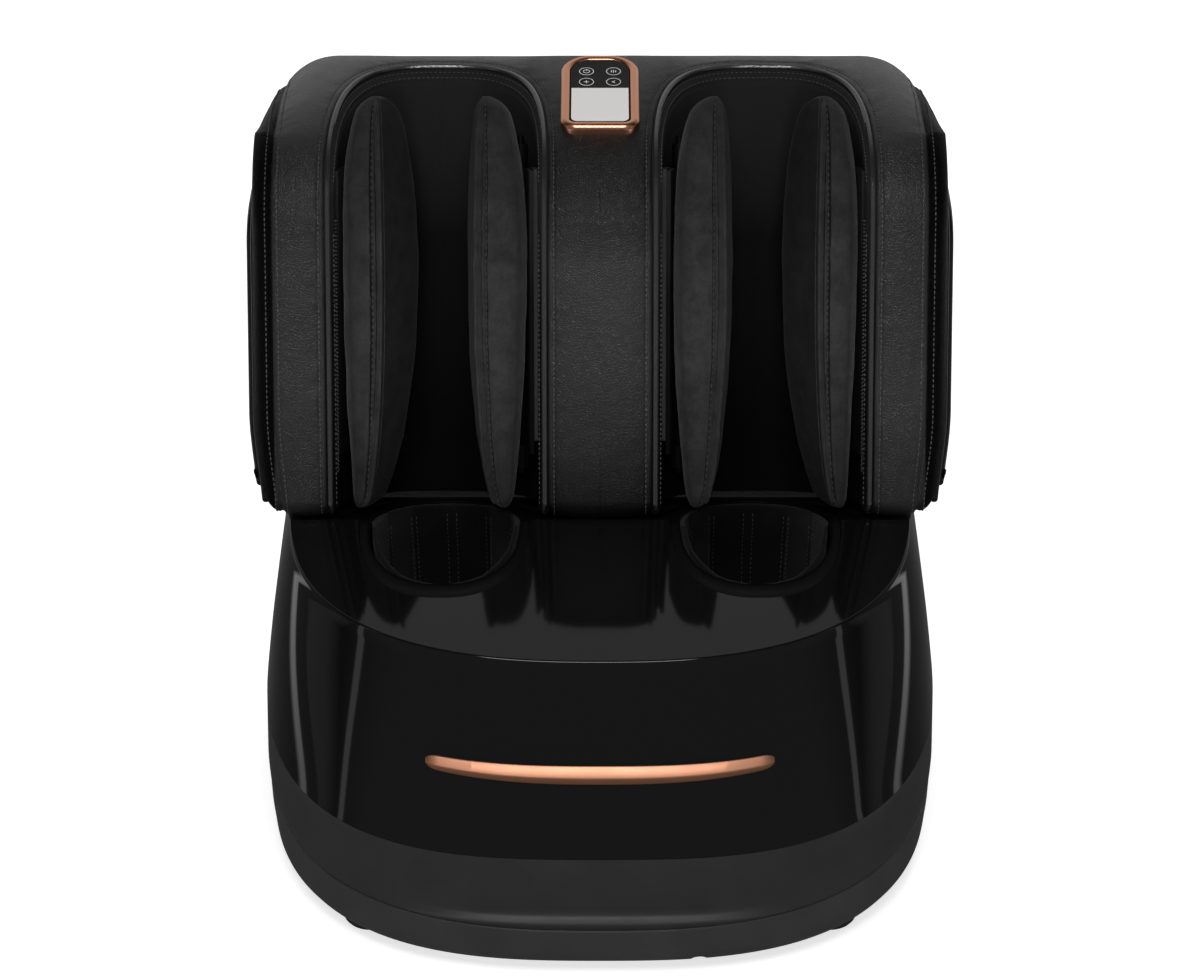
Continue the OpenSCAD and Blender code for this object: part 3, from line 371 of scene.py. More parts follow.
def material(name, color, roughness=0.5, **sockets):
    m = bpy.data.materials.new(name)
    m.use_nodes = True
    p = m.node_tree.nodes["Principled BSDF"]
    p.inputs["Base Color"].default_value = (*color, 1)
    p.inputs["Roughness"].default_value = roughness
    for key, value in sockets.items():
        p.inputs[key.replace("_", " ").title().replace("Ior", "IOR")].default_value = value
    return m


def feed(m, socket, value):
    m.node_tree.links.new(value, m.node_tree.nodes["Principled BSDF"].inputs[socket])


def objects_xyz(m, stretch=(1, 1, 1)):
    place = node(m, "ShaderNodeTexCoord").outputs["Object"]
    return node(m, "ShaderNodeMapping", {"Vector": place, "Scale": stretch}).outputs[0]


def noise(m, vector, scale, detail=4.0, roughness=0.5):
    given = {"Vector": vector, "Scale": scale, "Detail": detail, "Roughness": roughness}
    return node(m, "ShaderNodeTexNoise", given).outputs["Fac"]


def bump(m, height, distance, strength=1.0, after=None):
    given = {"Height": height, "Distance": distance, "Strength": strength}
    if after is not None:
        given["Normal"] = after
    return node(m, "ShaderNodeBump", given).outputs[0]


def polished(m, scale, detail, low, high, stretch=(1, 1, 1)):
    feed(m, "Roughness", span(m, noise(m, objects_xyz(m, stretch), scale, detail), low, high))


def grained(m, scale, detail, distance, strength, stretch=(1, 1, 1)):
    feed(m, "Normal", bump(m, noise(m, objects_xyz(m, stretch), scale, detail), distance, strength))


def mottled(m, scale, detail, stops, roughness=0.5):
    feed(m, "Base Color", ramp(m, noise(m, objects_xyz(m), scale, detail, roughness), stops))


def variant(m, name):
    copy = m.copy()
    copy.name = name
    return copy


print("material helpers ready")

# %% [markdown]
# ### Glossy and matte mouldings
# The base top and the side covers are high-gloss black plastic: nearly mirror smooth, with the faintest
# waviness from moulding. The skirt and the pan are the same plastic with a fine spark-eroded texture.

# %% Plastic finishes
gloss = material("gloss_black", (0.0045, 0.0045, 0.005), specular_ior_level=0.35)
polished(gloss, 9, 3, 0.03, 0.075)
grained(gloss, 14, 1, 0.0004, 0.25)

matte = material("matte_grey", (0.03, 0.03, 0.031), specular_ior_level=0.4)
mottled(matte, 30, 5, [(0.3, 0.022), (0.7, 0.028)])
polished(matte, 60, 4, 0.36, 0.5)
grained(matte, 1400, 2, 0.00012, 0.5)

inner_grey = material("inner_grey", (0.1, 0.105, 0.11))
polished(inner_grey, 80, 3, 0.42, 0.6)
grained(inner_grey, 900, 2, 0.0002, 0.5)

disc_black = material("disc_black", (0.035, 0.035, 0.038))
polished(disc_black, 120, 3, 0.28, 0.45)
grained(disc_black, 700, 2, 0.0002, 0.4)

switch_black = material("switch_black", (0.012, 0.012, 0.012))
polished(switch_black, 200, 3, 0.2, 0.34)

pan_grey = variant(matte, "pan_grey")
mottled(pan_grey, 30, 5, [(0.3, 0.032), (0.7, 0.04)])

collar_black = material("collar_black", (0.003, 0.003, 0.003), specular_ior_level=0.2)
polished(collar_black, 110, 3, 0.3, 0.45)

rubber = material("soft_rubber", (0.018, 0.018, 0.018), specular_ior_level=0.3)
polished(rubber, 150, 4, 0.65, 0.85)
grained(rubber, 1500, 2, 0.0002, 0.5)
print("plastics and rubber ready")

# %% [markdown]
# ### Metals
# The panel's bezel is plated in rose gold, and the trim bar has the same plating with a satin surface.
# The hidden steel has a brushed finish: noise stretched a hundred times along one direction makes the
# fine lines. Bronze is turned.

# %% Metal finishes
rose = material("rose_gold", (0.66, 0.31, 0.19), metallic=1.0)
polished(rose, 40, 4, 0.19, 0.3)
grained(rose, 2600, 2, 0.00008, 0.3)

rose_satin = variant(rose, "rose_gold_satin")
polished(rose_satin, 40, 4, 0.38, 0.48)

BRUSHED = (4, 400, 400)
steel = material("brushed_steel", (0.52, 0.53, 0.54), metallic=1.0)
polished(steel, 3, 4, 0.24, 0.42, BRUSHED)
grained(steel, 3, 4, 0.0001, 0.4, BRUSHED)

bronze = material("sintered_bronze", (0.5, 0.33, 0.15), metallic=1.0)
polished(bronze, 400, 4, 0.3, 0.5)
grained(bronze, 1800, 2, 0.0001, 0.5)

motor_paint = material("motor_paint", (0.16, 0.165, 0.175), metallic=0.6)
polished(motor_paint, 90, 4, 0.3, 0.5)
print("metals ready")

# %% [markdown]
# ### Leather, velour and the boot's fabric
# Leather needs two scales of relief: a fine pebble grain from Voronoi cells, and soft creases from a
# stretched noise. Its colour and gloss carry painted shade by height, darker at the bottom and below the
# top, more on the centre column than on the arms, and the arms' top roll gets a painted highlight. The
# narrow gusset at each side is nearly black. Velour is short pile: no gloss, but a sheen at its edges,
# and mottled where the pile lies differently. A darker copy of it is painted shade on the pads' sides
# that face the leg, the well lining is darkened towards its bottom as painted shade, and the pads'
# stitches take a darker thread as painted shade. The boots are a woven cloth made of two crossed waves.

# %% Leather finish
leather = material("grained_leather", (0.03, 0.03, 0.031))
xyz = objects_xyz(leather)
cells = node(leather, "ShaderNodeTexVoronoi", {"Vector": xyz, "Scale": 620.0}, feature="DISTANCE_TO_EDGE")
folds = noise(leather, objects_xyz(leather, (1.0, 0.6, 0.6)), 120, 5, 0.6)
cloudy = ramp(leather, noise(leather, xyz, 9, 5), [(0.3, 0.006), (0.72, 0.015)])
spot = node(leather, "ShaderNodeSeparateXYZ", {0: xyz}).outputs
from_middle = calculate(leather, "ABSOLUTE", spot["X"])
gusset_band = span(leather, from_middle, 0, 1, start=0.2262, end=0.2275)
on_column = span(leather, from_middle, 1, 0, start=0.05, end=0.075)
level = calculate(leather, "MULTIPLY", spot["Z"], 2.0)
# Painted shade and light by height: the column darkens at its bottom and under its top; the arms darken at
# the bottom and below the top roll, and the top roll is brightened as a painted highlight.
COLUMN_PAINTED_SHADE = [(0.42, 0.11), (0.54, 0.5), (0.62, 0.67), (0.76, 0.67), (0.86, 0.26), (0.92, 0.36)]
ARM_PAINTED_LIGHT_AND_SHADE = [(0.42, 0.48), (0.6, 0.67), (0.76, 0.67), (0.88, 0.46), (0.91, 0.6), (0.93, 1.0)]
light_and_shade_inputs = {0: on_column, 2: ramp(leather, level, ARM_PAINTED_LIGHT_AND_SHADE), 3: ramp(leather, level, COLUMN_PAINTED_SHADE)}
height_light_and_shade = node(leather, "ShaderNodeMix", light_and_shade_inputs).outputs[0]
# This painted light and shade scales both the leather's colour and its specular level.
painted_light_and_shade = calculate(leather, "MULTIPLY", height_light_and_shade, 1.5)
shades = {0: gusset_band, 6: cloudy, 7: (0.0012, 0.0012, 0.0013, 1)}
hide = node(leather, "ShaderNodeMix", shades, data_type="RGBA").outputs[2]
colour_with_painted_light = node(leather, "ShaderNodeVectorMath", {0: hide, "Scale": painted_light_and_shade}, operation="SCALE")
feed(leather, "Base Color", colour_with_painted_light.outputs[0])
shine = calculate(leather, "MULTIPLY", span(leather, gusset_band, 0.6, 0.06), painted_light_and_shade)
feed(leather, "Specular IOR Level", shine)
feed(leather, "Roughness", span(leather, folds, 0.32, 0.5))
pebbles = ramp(leather, cells.outputs["Distance"], [(0.0, 0.0), (0.22, 1.0)])
creases = ramp(leather, folds, [(0.3, 0.0), (0.5, 1.0), (0.7, 0.1)])
feed(leather, "Normal", bump(leather, pebbles, 0.0003, 0.5, bump(leather, creases, 0.0005, 0.35)))

piping_skin = material("piping_leather", (0.02, 0.02, 0.021), specular_ior_level=1.0)
polished(piping_skin, 140, 4, 0.1, 0.24)
grained(piping_skin, 700, 3, 0.0003, 0.5)
print("leather ready")

# %% Fabric finishes


def sheen(m, weight, roughness=None):
    sockets = m.node_tree.nodes["Principled BSDF"].inputs
    sockets["Sheen Weight"].default_value = weight
    if roughness is not None:
        sockets["Sheen Roughness"].default_value = roughness


VELOUR_NOISE = (60, 8)
PILE_ROUGHNESS = 0.8
velour = material("velour", (0.026, 0.026, 0.027), 0.95, specular_ior_level=0.15)
sheen(velour, 0.15, 0.35)
velour.node_tree.nodes["Principled BSDF"].inputs["Sheen Tint"].default_value = (0.55, 0.55, 0.56, 1)
mottled(velour, *VELOUR_NOISE, [(0.36, 0.016), (0.66, 0.034)], PILE_ROUGHNESS)
xyz = objects_xyz(velour)
patches = bump(velour, noise(velour, xyz, 26, 5), 0.0012, 0.35)
feed(velour, "Normal", bump(velour, noise(velour, xyz, 2200, 2), 0.0005, 0.55, patches))

# A darker copy of the velour: painted shade for the pads' sides that face the leg.
dark_velour = variant(velour, "dark_velour")
mottled(dark_velour, *VELOUR_NOISE, [(0.36, 0.006), (0.66, 0.013)], PILE_ROUGHNESS)
sheen(dark_velour, 0.05)

lining_velour = variant(velour, "lining_velour")
sheen(lining_velour, 0.0)
# Painted shade: the lining is darkened towards the bottom of the well.
spot = node(lining_velour, "ShaderNodeSeparateXYZ", {0: objects_xyz(lining_velour)}).outputs
shade_height = span(lining_velour, spot["Z"], 0, 1, start=0.22, end=0.46)
feed(lining_velour, "Base Color", ramp(lining_velour, shade_height, [(0.0, 0.001), (0.55, 0.003), (1.0, 0.02)]))

boot_cloth = material("boot_cloth", (0.014, 0.014, 0.0145), 0.9, specular_ior_level=0.2)
sheen(boot_cloth, 0.06, 0.4)
wave = {"Vector": objects_xyz(boot_cloth), "Scale": 420.0, "Distortion": 0.6}
warp = node(boot_cloth, "ShaderNodeTexWave", wave, bands_direction="X").outputs["Fac"]
weft = node(boot_cloth, "ShaderNodeTexWave", wave, bands_direction="Y").outputs["Fac"]
feed(boot_cloth, "Normal", bump(boot_cloth, calculate(boot_cloth, "MULTIPLY", warp, weft), 0.0003, 0.6))
mottled(boot_cloth, 40, 4, [(0.3, 0.003), (0.7, 0.007)])

thread = material("sewing_thread", (0.05, 0.05, 0.052), 0.7)
mottled(thread, 900, 2, [(0.3, 0.03), (0.7, 0.085)])

# A darker copy of the thread for the pads' stitches, as painted shade.
pad_thread = variant(thread, "pad_thread")
mottled(pad_thread, 900, 2, [(0.3, 0.018), (0.7, 0.055)])
print("fabrics ready")

# %% [markdown]
# ### Glass, boards and hoses
# The touch glass is black and very smooth. The boards are green laminate with a faint pattern of tracks.

# %% Glass, board and hose finishes
black_glass = material("black_glass", (0.0012, 0.0012, 0.0014), specular_ior_level=0.1)
polished(black_glass, 60, 3, 0.02, 0.06)

silver_print = material("silver_print", (0.78, 0.76, 0.75))
polished(silver_print, 5, 3, 0.24, 0.36, (4, 300, 300))

white_print = material("white_print", (0.62, 0.62, 0.62))
polished(white_print, 900, 2, 0.4, 0.5)

BOARD_GREEN, TRACK_GREEN = (0.02, 0.09, 0.035), (0.05, 0.16, 0.06)
laminate = material("green_laminate", BOARD_GREEN, 0.4)
tracks = node(laminate, "ShaderNodeTexBrick", {"Vector": objects_xyz(laminate), "Scale": 120.0})
feed(laminate, "Base Color", ramp(laminate, tracks.outputs["Fac"], [(0.0, BOARD_GREEN), (1.0, TRACK_GREEN)]))

air_film = material("air_film", (0.02, 0.02, 0.021))
polished(air_film, 90, 3, 0.35, 0.55)
grained(air_film, 260, 3, 0.0006, 0.4)
print("glass, boards and hoses ready")

# %% [markdown]
# ## Finishes for the CAD pieces that stay
# Brackets, rollers, boards and screws already have their true shape, so they only get a finish. The
# look-up goes by the slot that the record gives to each node.

# %% Give every CAD node its finish
FINISH_OF_SLOT = {
    "shell_gloss": gloss,
    "shell_matte": matte,
    "rose_gold": rose,
    "leather": leather,
    "velour": velour,
    "boot_fabric": boot_cloth,
    "black_glass": black_glass,
    "rubber": rubber,
    "steel": steel,
    "bronze": bronze,
    "inner_plastic": inner_grey,
    "roller": disc_black,
    "motor": motor_paint,
    "board": laminate,
    "air_rubber": air_film,
    "switch_black": switch_black,
}
# Painted shade: the housing, the pad hinge rods and the pad carriers sit in the shaded wells, so they get
# darker finishes than their slots give, which hides their lighter colour and the rods' steel glints.
SHADE_PAINTED_FINISH = {"housing_": switch_black, "pad_hinge_rods": collar_black, "pad_carrier_": lining_velour}
slot_of_node = {s["node"]: s["material_slot"] for s in frame["record"]["subparts"]}
for name, obj in nodes.items():
    obj.data.materials.clear()
    finish = FINISH_OF_SLOT[slot_of_node[name]]
    shade_painted = [dark for start, dark in SHADE_PAINTED_FINISH.items() if name.startswith(start)]
    obj.data.materials.append((shade_painted or [finish])[0])


def dress(obj, finish, body, slot, *replaced):
    obj.data.materials.clear()
    obj.data.materials.append(finish)
    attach(obj, body)
    if replaced:
        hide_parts(*replaced)
    print(f"{obj.name}: {len(obj.data.polygons)} faces, rides on {body}")


print("finished nodes:", len(nodes))

# %% [markdown]
# ## The base's plan
# Seen from above, the base is a blunt D: a superellipse whose front half is rounder than its rear. Each
# height of the base is one such ring, tipped forward a little, because the deck slopes by 8 degrees.

# %% Rings of the base
BASE_HW, BASE_REAR, MID_Y = 236.0, 230.0, 20.0
SKIRT_Z, DECK_Z, SEAM_Z, PAN_Z = 112.0, 215.0, 40.0, 9.0
SLOPE = math.tan(math.radians(8))
PLAN = 360


def plan_ring(hw, front, n, z, slope, inset=0.0, rear=BASE_REAR):
    a = np.linspace(0, 2 * np.pi, PLAN, endpoint=False)
    e = np.where(np.sin(a) < 0, n, 5.0)
    reach = np.where(np.sin(a) < 0, front + MID_Y, rear - MID_Y)
    x = (hw - inset) * spow(np.cos(a), 2 / e)
    y = MID_Y + (reach - inset) * spow(np.sin(a), 2 / e)
    return np.stack([x, y, z + y * slope], 1)


def even_ring(ring):
    closed = np.vstack([ring, ring[:1]])
    return resample(closed, PLAN + 1)[:-1]


def flank_size(t):
    bulge = math.sin(math.pi * t)
    hw = BASE_HW + (217 - BASE_HW) * t + 2 * bulge
    front = 215 + (148 - 215) * t + 4 * bulge
    n = 3 + (2.5 - 3) * t
    z = SKIRT_Z + (DECK_Z - SKIRT_Z) * t
    return hw, front, n, z


def flank(t, inset=0.0):
    hw, front, n, z = flank_size(t)
    return even_ring(plan_ring(hw, front, n, z, SLOPE, inset, BASE_REAR - 4 * t))


def flank_point(x, t, out=0.0):
    hw, front, n, z = flank_size(t)
    y = MID_Y - (front + MID_Y) * (1 - (abs(x) / hw) ** n) ** (1 / n)
    return [x, y - out * 0.87, z + y * SLOPE + out * 0.5]


print("deck ring:", flank(1).round(1)[::90].tolist())

# %% [markdown]
# ### Upper shell
# The glossy top is one moulding: flanks, sloping deck and a trough in which the calf unit turns. The
# flanks are a loft of rings with a small rounded edge at the deck. Booleans cut the trough and the
# openings, the cut walls are deleted, and Solidify gives the moulding its 3 mm wall.

# %% Upper shell
PIVOT = (128.0, 59.0)
DRUM_R = 59.0
GAP = 3.0
SHELL_WALL = 0.003
pivot_y = CORNER[0] + PIVOT[0] * math.cos(LEAN) + PIVOT[1] * math.sin(LEAN)
pivot_z = CORNER[1] - PIVOT[0] * math.sin(LEAN) + PIVOT[1] * math.cos(LEAN)
RIM_Z = pivot_z - DRUM_R * 0.62

TOP_T, EDGE_RADIUS = 0.985, 1.8
rings = [flank(t) for t in np.linspace(0, TOP_T, 22)]
for a in np.linspace(0.2, 1, 5) * math.pi / 2:
    ring = flank(TOP_T, EDGE_RADIUS * (1 - math.cos(a)))
    ring[:, 2] += EDGE_RADIUS * math.sin(a)
    rings.append(ring)
deck_edge = rings[-1]
middle = np.array([0, MID_Y])
for f in (0.97, 0.9, 0.75, 0.55, 0.35, 0.15):
    ring = deck_edge.copy()
    ring[:, :2] = middle + (deck_edge[:, :2] - middle) * f
    ring[:, 2] = deck_edge[0, 2] + (ring[:, 1] - deck_edge[0, 1]) * SLOPE
    rings.append(ring)
shell = loft("upper_shell_gloss", [base_mm(r) for r in rings], crisp=60)

front_plan = [(-300, -80), (300, -80), (300, PIVOT[0]), (-300, PIVOT[0])]
calf_front = prism("cut_front", front_plan, -GAP, 200, calf_mm)
calf_drum = prism("cut_drum", circle(*PIVOT, DRUM_R + GAP, 160), -300, 300, calf_mm, axis=0)
calf_rear = box_mm("cut_rear", (-300, pivot_y, RIM_Z), (300, pivot_y + 260, RIM_Z + 200))


def opening(grow, front_grow, count=160):
    a = np.linspace(0, 2 * np.pi, count, endpoint=False)
    reach = np.where(np.sin(a) < 0, 64 + front_grow, 98 + grow)
    ring = np.stack([(52.5 + grow) * spow(np.cos(a), 0.8), reach * spow(np.sin(a), 0.9)], 1)
    return resample(np.vstack([ring, ring[:1]]), count + 1)[:-1]


FOOT_X, COLLAR_W, COLLAR_FRONT = 108.5, 7.0, 19.0
holes = []
for side in (-1, 1):
    ring = opening(COLLAR_W + 0.3, COLLAR_FRONT + 0.3) + np.array([side * FOOT_X, 0])
    holes.append(prism("cut_foot", ring, 20, 300))
    x = side * 205
    holes.append(box_mm("cut_slot", (x - 3.5, pivot_y - 18, 20), (x + 3.5, pivot_y + 18, 300)))
keep_mat = bpy.data.materials.new("cut_wall")
for o in [calf_front, calf_drum, calf_rear]:
    o.data.materials.append(gloss)
for o in holes:
    o.data.materials.append(keep_mat)
shell.data.materials.append(gloss)
cut(shell, [calf_front, calf_drum, calf_rear])
cut(shell, holes)
bm = bmesh.new()
bm.from_mesh(shell.data)
wall_slots = [k for k, m in enumerate(shell.data.materials) if m == keep_mat]
gone = [f for f in bm.faces if f.material_index in wall_slots or f.normal.z < -0.9]
bmesh.ops.delete(bm, geom=gone, context="FACES")
bmesh.ops.triangulate(bm, faces=[f for f in bm.faces if len(f.verts) > 4], ngon_method="EAR_CLIP")
bm.to_mesh(shell.data)
bm.free()
thicken(shell, SHELL_WALL)
shell.data.set_sharp_from_angle(angle=math.radians(32))
FLAT_DECK = 0.985
for face in shell.data.polygons:
    face.use_smooth = face.normal.z < FLAT_DECK
dress(shell, gloss, "base", "shell_gloss", "upper_shell")

# %% [markdown]
# ### Skirt and pan
# The matte skirt hangs below the gloss, and the pan closes the base underneath. Both are lofts with a
# small rounded lip at each seam, which catches a thin line of light as the real parting lines do. The
# pan has a small notch at its front edge and slots under the rollers.

# %% Skirt
levels = [(BASE_HW + 2, 238, 2.6, 40.3, 0), (BASE_HW + 2, 229, 2.8, 62, 4), (BASE_HW, 215, 3.0, 111.7, 8)]


def skirt_ring(t, inset=0.0, lift=0.0):
    k = 0 if t < 0.3 else 1
    f = t / 0.3 if k == 0 else (t - 0.3) / 0.7
    a, b = levels[k], levels[k + 1]
    v = [a[i] + (b[i] - a[i]) * f for i in range(5)]
    return even_ring(plan_ring(v[0], v[1], v[2], v[3] + lift, math.tan(math.radians(v[4])), inset))


def lip_offset(angle, lip):
    a = math.radians(angle)
    return lip * (1 - math.sin(a)), lip * (1 - math.cos(a))


def lipped(ring_at, wall, lip=1.3, steps=14):
    rows = [ring_at(0, wall, 0)]
    for angle in (0, 45, 80):
        inset, lift = lip_offset(angle, lip)
        rows.append(ring_at(0, inset, lift))
    for t in np.linspace(0, 1, steps)[1:-1]:
        rows.append(ring_at(t, 0, 0))
    for angle in (80, 45, 0):
        inset, lift = lip_offset(angle, lip)
        rows.append(ring_at(1, inset, -lift))
    rows.append(ring_at(1, wall, 0))
    for t in np.linspace(1, 0, 6)[1:-1]:
        rows.append(ring_at(t, wall, 0))
    return rows


SKIRT_WALL = 3.0
skirt = surface("skirt_matte", [[base_mm(r) for r in lipped(skirt_ring, SKIRT_WALL)]], 60, wrap=True)
cut(skirt, [box_mm("cut_panel", (-74, 205, 58), (74, 260, 122))])
dress(skirt, matte, "base", "shell_matte", "lower_skirt")

# %% Pan
pan_levels = [
    (BASE_HW - 8, 228, 2.8, PAN_Z, BASE_REAR - 8),
    (BASE_HW - 3.5, 232.5, 2.8, PAN_Z + 2, BASE_REAR - 4),
    (BASE_HW - 1, 235, 2.8, PAN_Z + 6, BASE_REAR - 2),
    (BASE_HW + 1, 237, 2.7, SEAM_Z - 12, BASE_REAR),
    (BASE_HW + 2, 238, 2.6, SEAM_Z - 1, BASE_REAR),
    (BASE_HW + 1.2, 237.2, 2.6, SEAM_Z, BASE_REAR - 0.8),
]
PAN_WALL = 3
inner_levels = [(4, SEAM_Z), (3, SEAM_Z - 12), (2, PAN_Z + 10), (1, PAN_Z + 3)]
rows = [even_ring(plan_ring(hw, front, n, z, 0, 0, rear)) for hw, front, n, z, rear in pan_levels]
for k, z in inner_levels:
    hw, front, n, _, rear = pan_levels[k]
    rows.append(even_ring(plan_ring(hw, front, n, z, 0, PAN_WALL, rear)))
bm = bmesh.new()
vs = add_grid(bm, [base_mm(r) for r in rows], wrap_u=True)
bm.faces.new(vs[0])
bm.faces.new(list(reversed(vs[-1])))
pan = finish_mesh("pan_matte", bm, 50)
slots = []
for x in (-108.5, 108.5):
    for i in range(7):
        slots.append(box_mm("cut_vent", (x - 36 + 12 * i, -150, 0), (x - 32 + 12 * i, -20, 13)))
notch = circle(66, PAN_Z - 1, 6)
slots.append(prism("cut_notch", notch, -245, -223, base_mm, axis=1))
cut(pan, slots)
dress(pan, pan_grey, "base", "shell_matte", "base_pan")

# %% [markdown]
# ### Trim bar
# A rose-gold bar lies on the front slope. It has two facets: a narrow lower one and a wide upper one,
# with a bright edge between them. Its ends are round, so its height falls to nothing like a circle.

# %% Trim bar
HALF_BAR, BAR_END = 116.0, 9
quarter = np.linspace(0, math.pi / 2, 14)
xs = np.concatenate([-HALF_BAR + BAR_END * (1 - np.cos(quarter)), np.linspace(-104, 104, 80),
                     HALF_BAR - BAR_END * (1 - np.cos(quarter[::-1]))])
section = [(-1, 0.0), (-1, 0.42), (-0.94, 0.55), (-0.42, 0.97), (-0.32, 1.0), (-0.2, 0.98), (0.92, 0.6),
           (1, 0.5), (1, 0.0)]
rows = []
for x in xs:
    e = (HALF_BAR - abs(x)) / BAR_END
    swell = 1 if e >= 1 else 0.2 + 0.8 * math.sqrt(max(0, 1 - (1 - e) ** 2))
    off = (x / HALF_BAR) ** 2
    b = 0.047 * swell * (1 - 0.25 * off)
    m = 0.445 + 0.015 * off
    lift = 3.0 * swell
    rows.append([flank_point(x, m + k * b, 0.3 + h * lift) for k, h in section])
bar = loft("trim_bar", base_mm(rows), crisp=24)
dress(bar, rose_satin, "base", "rose_gold", "front_trim_bar")

# %% [markdown]
# ### Collars
# A collar frames each foot opening. It follows the deck in front and dips under the calf unit behind,
# so its height at each point is the lower of the two planes. Its inner edge is rolled over.

# %% Collars


def deck_height(y):
    front = DECK_Z + y * SLOPE
    back = CORNER[1] - GAP / math.cos(LEAN) - (y - CORNER[0]) * math.tan(LEAN)
    return np.minimum(front, back)


SIDES = ((-1, "left"), (1, "right"))
COLLAR_SECTION = ((0, 6), (0, 1.6), (0.03, 1.1), (0.5, 1.4), (0.8, 1.8), (0.93, 2.4), (1.0, 4.2), (1.0, 9.0),
                  (0.8, 9.0))
for side, name in SIDES:
    outer = opening(COLLAR_W, COLLAR_FRONT, 200)
    inner = opening(0, 0, 200)
    rows = []
    for f, drop in COLLAR_SECTION:
        p = outer + (inner - outer) * f
        rows.append(np.stack([side * FOOT_X + p[:, 0], p[:, 1], deck_height(p[:, 1]) - drop], 1))
    collar = surface("foot_collar_" + name + "_gloss", [base_mm(np.array(rows))], 50, wrap=True)
    dress(collar, collar_black, "base", "shell_gloss", "foot_collar_" + name)

# %% [markdown]
# ### Quilted boots
# Each foot slips into a quilted boot. It is a sock: rings that start flat at the opening, turn as they
# go down and forward, and close at the toes. Lengthwise channels puff up between sewn lines.

# %% Boots
BOOT = np.array([
    [-64, 0, 98, 0, 52.5], [-65, 186, 97, 158, 52.5], [-66, 174, 104, 120, 52], [-72, 168, 98, 74, 50],
    [-78, 164, 40, 62, 49], [-88, 160, -28, 62, 49], [-108, 152, -84, 62, 50], [-136, 140, -124, 62, 50],
    [-164, 124, -160, 62, 46], [-182, 104, -182, 66, 36], [-190, 92, -190, 74, 20]], float)
BOOT_SEAMS, BOOT_POINTS, BOOT_WALL = 12, 288, 0.0024


def smooth_rows(table, count):
    k = np.arange(len(table))
    t = np.linspace(0, len(table) - 1, count)
    i = np.clip(t.astype(int), 0, len(table) - 2)
    f = (t - i)[:, None]
    p0, p1 = table[np.clip(i - 1, 0, None)], table[i]
    p2, p3 = table[i + 1], table[np.clip(i + 2, None, len(table) - 1)]
    second, third = 2 * p0 - 5 * p1 + 4 * p2 - p3, 3 * p1 - p0 - 3 * p2 + p3
    return t, 0.5 * (2 * p1 + (p2 - p0) * f + second * f**2 + third * f**3)


def boot_rows(side):
    around = np.linspace(0, 2 * np.pi, BOOT_POINTS + 1)[:-1]
    rows = []
    t_all, table = smooth_rows(BOOT[1:], 80)
    for t, s in zip(t_all, table):
        mid = np.array([s[0] + s[2], s[1] + s[3]]) / 2
        half = np.array([s[2] - s[0], s[3] - s[1]]) / 2
        reach = np.linalg.norm(half)
        fade = smooth((t + 0.4) / 0.8) * smooth((9 - t) / 1.2)
        valley = 1 - np.abs(np.sin(BOOT_SEAMS * around / 2)) ** 0.5
        inset = 2.9 + 1.4 * (1 - valley) * fade - 0.6 * valley * fade
        u = (reach - inset) * spow(np.sin(-around), 0.9)
        x = (s[4] - inset) * spow(np.cos(around), 0.85)
        toe = 2.5 * smooth(t - 8)
        y, z = mid[0] + u * half[0] / reach + toe, mid[1] + u * half[1] / reach
        rows.append(np.stack([side * FOOT_X + x, y, z], 1))
    top = rows[0]
    mouth = []
    for f in np.linspace(0, 1, 8)[:-1]:
        r = top.copy()
        r[:, 2] = (deck_height(top[:, 1]) - 5) * (1 - f) + top[:, 2] * f
        mouth.append(r)
    return mouth + rows


for side, name in SIDES:
    rows = boot_rows(side)
    bm = bmesh.new()
    vs = add_grid(bm, base_mm(np.array(rows)), wrap_u=True)
    bm.faces.new(list(reversed(vs[-1])))
    boot = finish_mesh("quilted_boot_" + name, bm, 50)
    centre = Vector(base_mm([side * FOOT_X, 0, 120]))
    up = sum((f.normal.dot(f.center - centre)) for f in boot.data.polygons)
    if up > 0:
        boot.data.flip_normals()
    thicken(boot, BOOT_WALL)
    dress(boot, boot_cloth, "base", "boot_fabric", "foot_boot_" + name)

# %% [markdown]
# ## The calf unit's side profile
# From the side, the calf unit is a flat face that rolls over the top in three arcs and comes down to a
# round drum at the pivot. The profile is sampled once along its length, and every leather and plastic
# surface of the calf unit is read from it, so all of them meet.

# %% Side profile
CALF_W, CALF_H, CALF_T = 480.0, 316.0, 187.0
HW = CALF_W / 2
ARC_R, ARC_A = (80.0, 260.0, 70.0), (math.radians(50), math.radians(72))
SHOULDER_R, HIP_R, EDGE_R = 52.0, 20.0, 12.0
HIP_TAPER = 6.0
face_w = (CALF_H - ARC_R[0] * math.sin(ARC_A[0]) - ARC_R[1] * (math.sin(ARC_A[1]) - math.sin(ARC_A[0]))
          - ARC_R[2] * (1 - math.sin(ARC_A[1])))
c0 = np.array([ARC_R[0], face_w])
c1 = c0 + (ARC_R[1] - ARC_R[0]) * np.array([math.cos(ARC_A[0]), -math.sin(ARC_A[0])])
c2 = c1 - (ARC_R[1] - ARC_R[2]) * np.array([math.cos(ARC_A[1]), -math.sin(ARC_A[1])])
crest_d = c2[0]
rear_r = CALF_T - crest_d


def arc_points(c, r, a0, a1, n):
    a = np.linspace(a0, a1, n)
    return np.stack([c[0] + r * np.cos(a), c[1] + r * np.sin(a)], 1)


